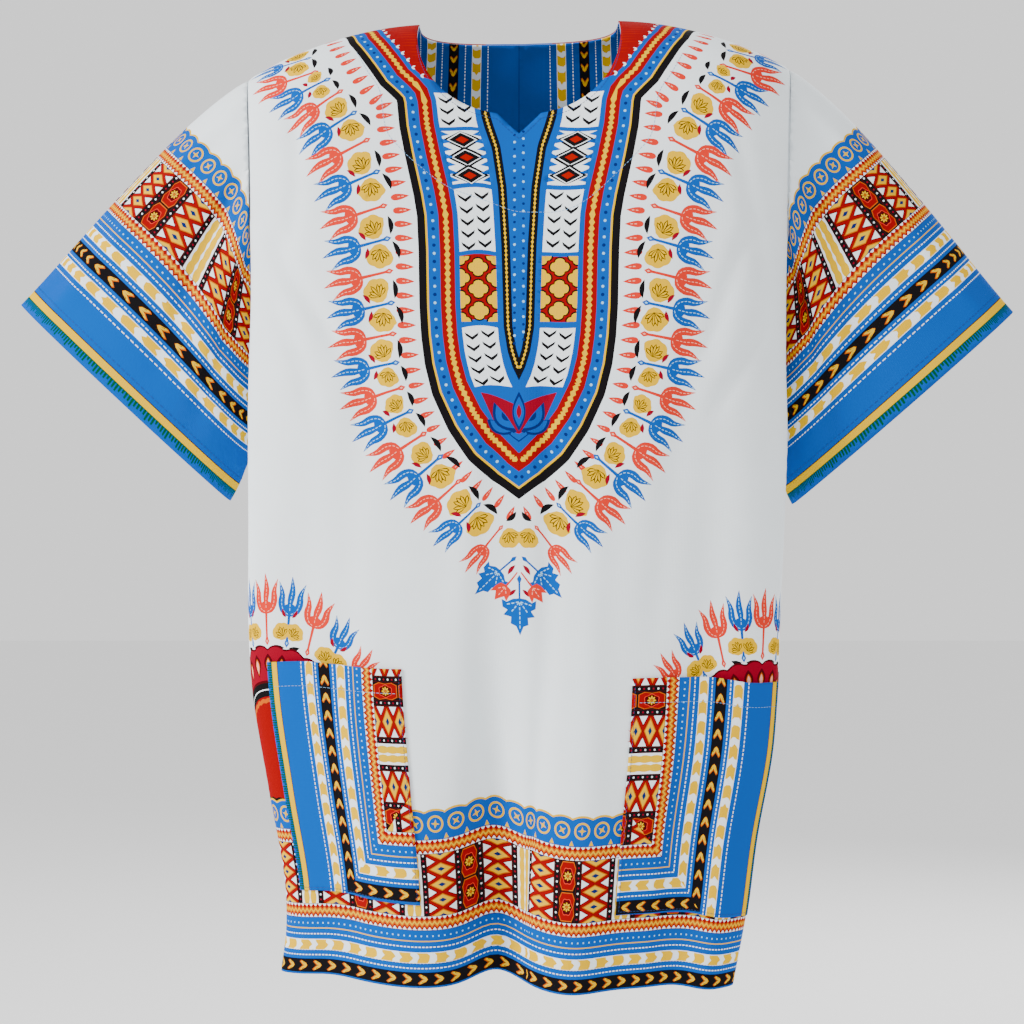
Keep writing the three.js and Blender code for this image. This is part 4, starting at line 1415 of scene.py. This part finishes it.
# ---- Pockets ----
POCKETS = {"left": (-1, 0.39, 0.77), "right": (1, 0.39, 0.83)}  # hand, inner and outer column
POCKET_TOP, POCKET_FOOT = 544, 732
POCKET_TILT = 7  # the right pocket hangs lower
POCKET_OFF, POCKET_PUFF = 1.8, 3.2  # how far it stands off the front, and bulges
POCKET_LINES = {}  # where each pocket is sewn down, and its hem's stitches


def pocket(hand):
    sign, inner, outer = POCKETS[hand]
    corners = np.array([flat_of("front", np.array([sign * a]), np.array([row + POCKET_TILT * sign * a]))[0]
                        for row, a in ((POCKET_TOP, inner), (POCKET_TOP, outer), (POCKET_FOOT, outer),
                                       (POCKET_FOOT, inner))])
    u_in, u_out = np.abs(corners[:2, 0])
    h_top, h_foot = corners[:2, 1].mean(), corners[2:, 1].mean()
    ahead = np.roll(corners, -1, 0)
    outline = np.concatenate([a + (b - a) * np.linspace(0, 1, 24, endpoint=False)[:, None]
                              for a, b in zip(corners, ahead)])

    def lift(flat):
        wide = np.clip((np.abs(flat[:, 0]) - u_in) / (u_out - u_in), 0, 1)
        high = np.clip((flat[:, 1] - h_foot) / (h_top - h_foot), 0, 1)
        return POCKET_OFF + POCKET_PUFF * np.sin(np.pi * wide) * smooth(high)

    near = corners + 2.4 * np.sign(corners.mean(0) - corners)
    slack = 0.02 * (near[1] - near[0])
    POCKET_LINES[hand] = {"edge": near[[0, 3, 2, 1]],
                          "hem": np.array([near[0] + slack, near[1] - slack]) - (0, 17.6)}
    node = f"pocket_{hand}"
    SURFACES[node] = panel_surface("front", lift)
    return printed_cloth(f"{node}_cloth", outline, pocket_design(sign, u_in, u_out, h_foot, h_top),
                         SURFACES[node], step=6.0, thick=hemmed(21.0, h_top, 0.5))


for hand in POCKETS:
    pieces["pocket_" + hand] = pocket(hand)

# ---- Facings inside the neck ----
FACING_EDGE = 0.53  # where a facing ends on the shoulder seam
FACING_DEPTHS = {"front": 160.0, "back": 105.0}


def facing(side):
    neck = NECK_COLUMN * np.linspace(-1, 1, 160)
    shoulder = flat_of(side, np.linspace(NECK_COLUMN, FACING_EDGE, 14), np.zeros(14))[1:]
    other = flat_of(side, np.linspace(-FACING_EDGE, -NECK_COLUMN, 14), np.zeros(14))[:-1]
    t = np.linspace(0, 1, 60)[1:]
    lower = flat_of(side, FACING_EDGE * (1 - t) ** 0.5, FACING_DEPTHS[side] * smooth(t) ** 0.6 + 12)
    outline = np.concatenate([flat_of(side, neck, neck_edge(side, neck)), shoulder, lower,
                              (lower * (-1, 1))[::-1][1:], other])
    return printed_cloth(f"neck_facing_{side}_cloth", outline, facing_design(), SURFACES[side], step=6.0,
                         under=1.3, inward=True)


for side in FACING_DEPTHS:
    pieces["neck_facing_" + side] = facing(side)


# ---- Stitches: short raised dashes of thread ----
def stitches(name, line, surface, material, pitch=3.2, length=2.1, width=0.4, tall=0.25):
    """A row of stitches along a line on the flat cloth, each a small closed block."""
    reach = lengths(line)
    starts = np.arange(pitch / 2, reach[-1] - length, pitch)
    points, normals = surface(spots_on(line, reach, np.stack([starts, starts + length], 1).ravel()))
    along = unit(np.repeat(points[1::2] - points[::2], 2, 0))
    side = unit(np.cross(normals, along)) * width / 2
    low, high = points + normals * 0.02, points + normals * tall
    blocks = np.stack([low - side, low + side, high + side * 0.7, high - side * 0.7], 1)
    faces = []
    for b in range(0, 8 * len(starts), 8):
        faces += [(b, b + 1, b + 2, b + 3), (b + 7, b + 6, b + 5, b + 4)]
        faces += [(b + i, b + 4 + i, b + 4 + (i + 1) % 4, b + (i + 1) % 4) for i in range(4)]
    mesh = bpy.data.meshes.new(name)
    mesh.from_pydata((blocks.reshape(-1, 3) * MM).tolist(), [], faces)
    mesh.update()
    mesh.materials.append(material)
    piece = linked(name, mesh)
    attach(piece, "root")
    return piece


FACING_HALF_LINE = np.array([(140, 772), (128, 750), (116, 731), (109, 697), (96, 680), (78, 663),
                             (51.5, 640), (26, 627), (0, 624)])
facing_line = np.concatenate([FACING_HALF_LINE * (-1, 1), FACING_HALF_LINE[-2::-1]])
sewn = {node: [] for node in pieces}
sewn["front"].append(stitches("stitches_facing", bent(facing_line, 120), SURFACES["front"], THREAD_PALE))
for side in ("front", "back"):
    across = NECK_COLUMN * 0.985 * np.sin(np.linspace(-np.pi / 2, np.pi / 2, 200))
    neck = flat_of(side, across, neck_edge(side, across) + 4.5)[::-1]
    hem = flat_of(side, np.linspace(-0.995, 0.995, 200), np.full(200, float(LENGTH))) + (0, 19.5)
    sewn[side].append(stitches(f"stitches_neck_{side}", neck, SURFACES[side], THREAD_BLUE, pitch=3.0,
                               length=2.0))
    sewn[side].append(stitches(f"stitches_hem_{side}", hem, SURFACES[side], THREAD_BLUE))
for hand in ("left", "right"):
    cuff, patch = f"sleeve_{hand}", f"pocket_{hand}"
    cuff_line = np.linspace((1, 21.0), (SLEEVE_ROUND - 1, 21.0), 160)
    sewn[cuff].append(stitches(f"stitches_{cuff}", cuff_line, SURFACES[cuff], THREAD_BLUE))
    for part, line in POCKET_LINES[hand].items():
        sewn[patch].append(stitches(f"stitches_{patch}_{part}", line, SURFACES[patch],
                                    THREAD_BLUE if part == "edge" else THREAD_PALE))

# ---- What each sheet is, how it is held and what it hangs from or lies on ----
SHEETS = {
    "front": ("panel_print", "hung", ["back"]),
    "back": ("panel_print", "hung", ["front"]),
    "sleeve_left": ("sleeve_print", "hung", ["front", "back"]),
    "sleeve_right": ("sleeve_print", "hung", ["front", "back"]),
    "pocket_left": ("pocket_print", "laid", ["front"]),
    "pocket_right": ("pocket_print", "laid", ["front"]),
    "neck_facing_front": ("facing_print", "laid", ["front"]),
    "neck_facing_back": ("facing_print", "laid", ["back"]),
}
for node, (slot, held, carriers) in SHEETS.items():
    piece = pieces[node]
    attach(piece, "root")
    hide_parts(node)

# ---- Stage, light and camera (metres) ----
bpy.ops.mesh.primitive_plane_add(size=30, location=(0, 0, -1.15))
floor = bpy.context.object
floor.name = "floor"
paper, paper_shader = new_material("paper", 0.9)
paper_shader.inputs["Base Color"].default_value = (0.9, 0.9, 0.9, 1)
floor.data.materials.append(paper)

world = bpy.data.worlds.new("studio")
bpy.context.scene.world = world
world.use_nodes = True
world.node_tree.nodes["Background"].inputs["Color"].default_value = (1, 1, 1, 1)
world.node_tree.nodes["Background"].inputs["Strength"].default_value = 1.15

AIM = Vector((0, 0, -0.4))


def area_light(name, place, size, power):
    light = bpy.data.lights.new(name, "AREA")
    light.size = size
    light.energy = power
    thing = linked(name, light)
    thing.location = place
    thing.rotation_euler = (AIM - Vector(place)).to_track_quat("-Z", "Y").to_euler()


area_light("key", (-3.0, -1.6, 0.9), 1.2, 160)
area_light("fill", (2.6, -2.0, 0.4), 2.2, 8)
area_light("rear", (1.4, 2.6, 1.2), 1.8, 80)

camera = bpy.data.cameras.new("camera")
camera.lens = 108.1
camera.sensor_width = 36
camera.shift_x = -0.0068
eye = linked("camera", camera)
eye.location = (0, -2.6, -0.4135)
eye.rotation_euler = (math.pi / 2, 0, 0)
bpy.context.scene.camera = eye
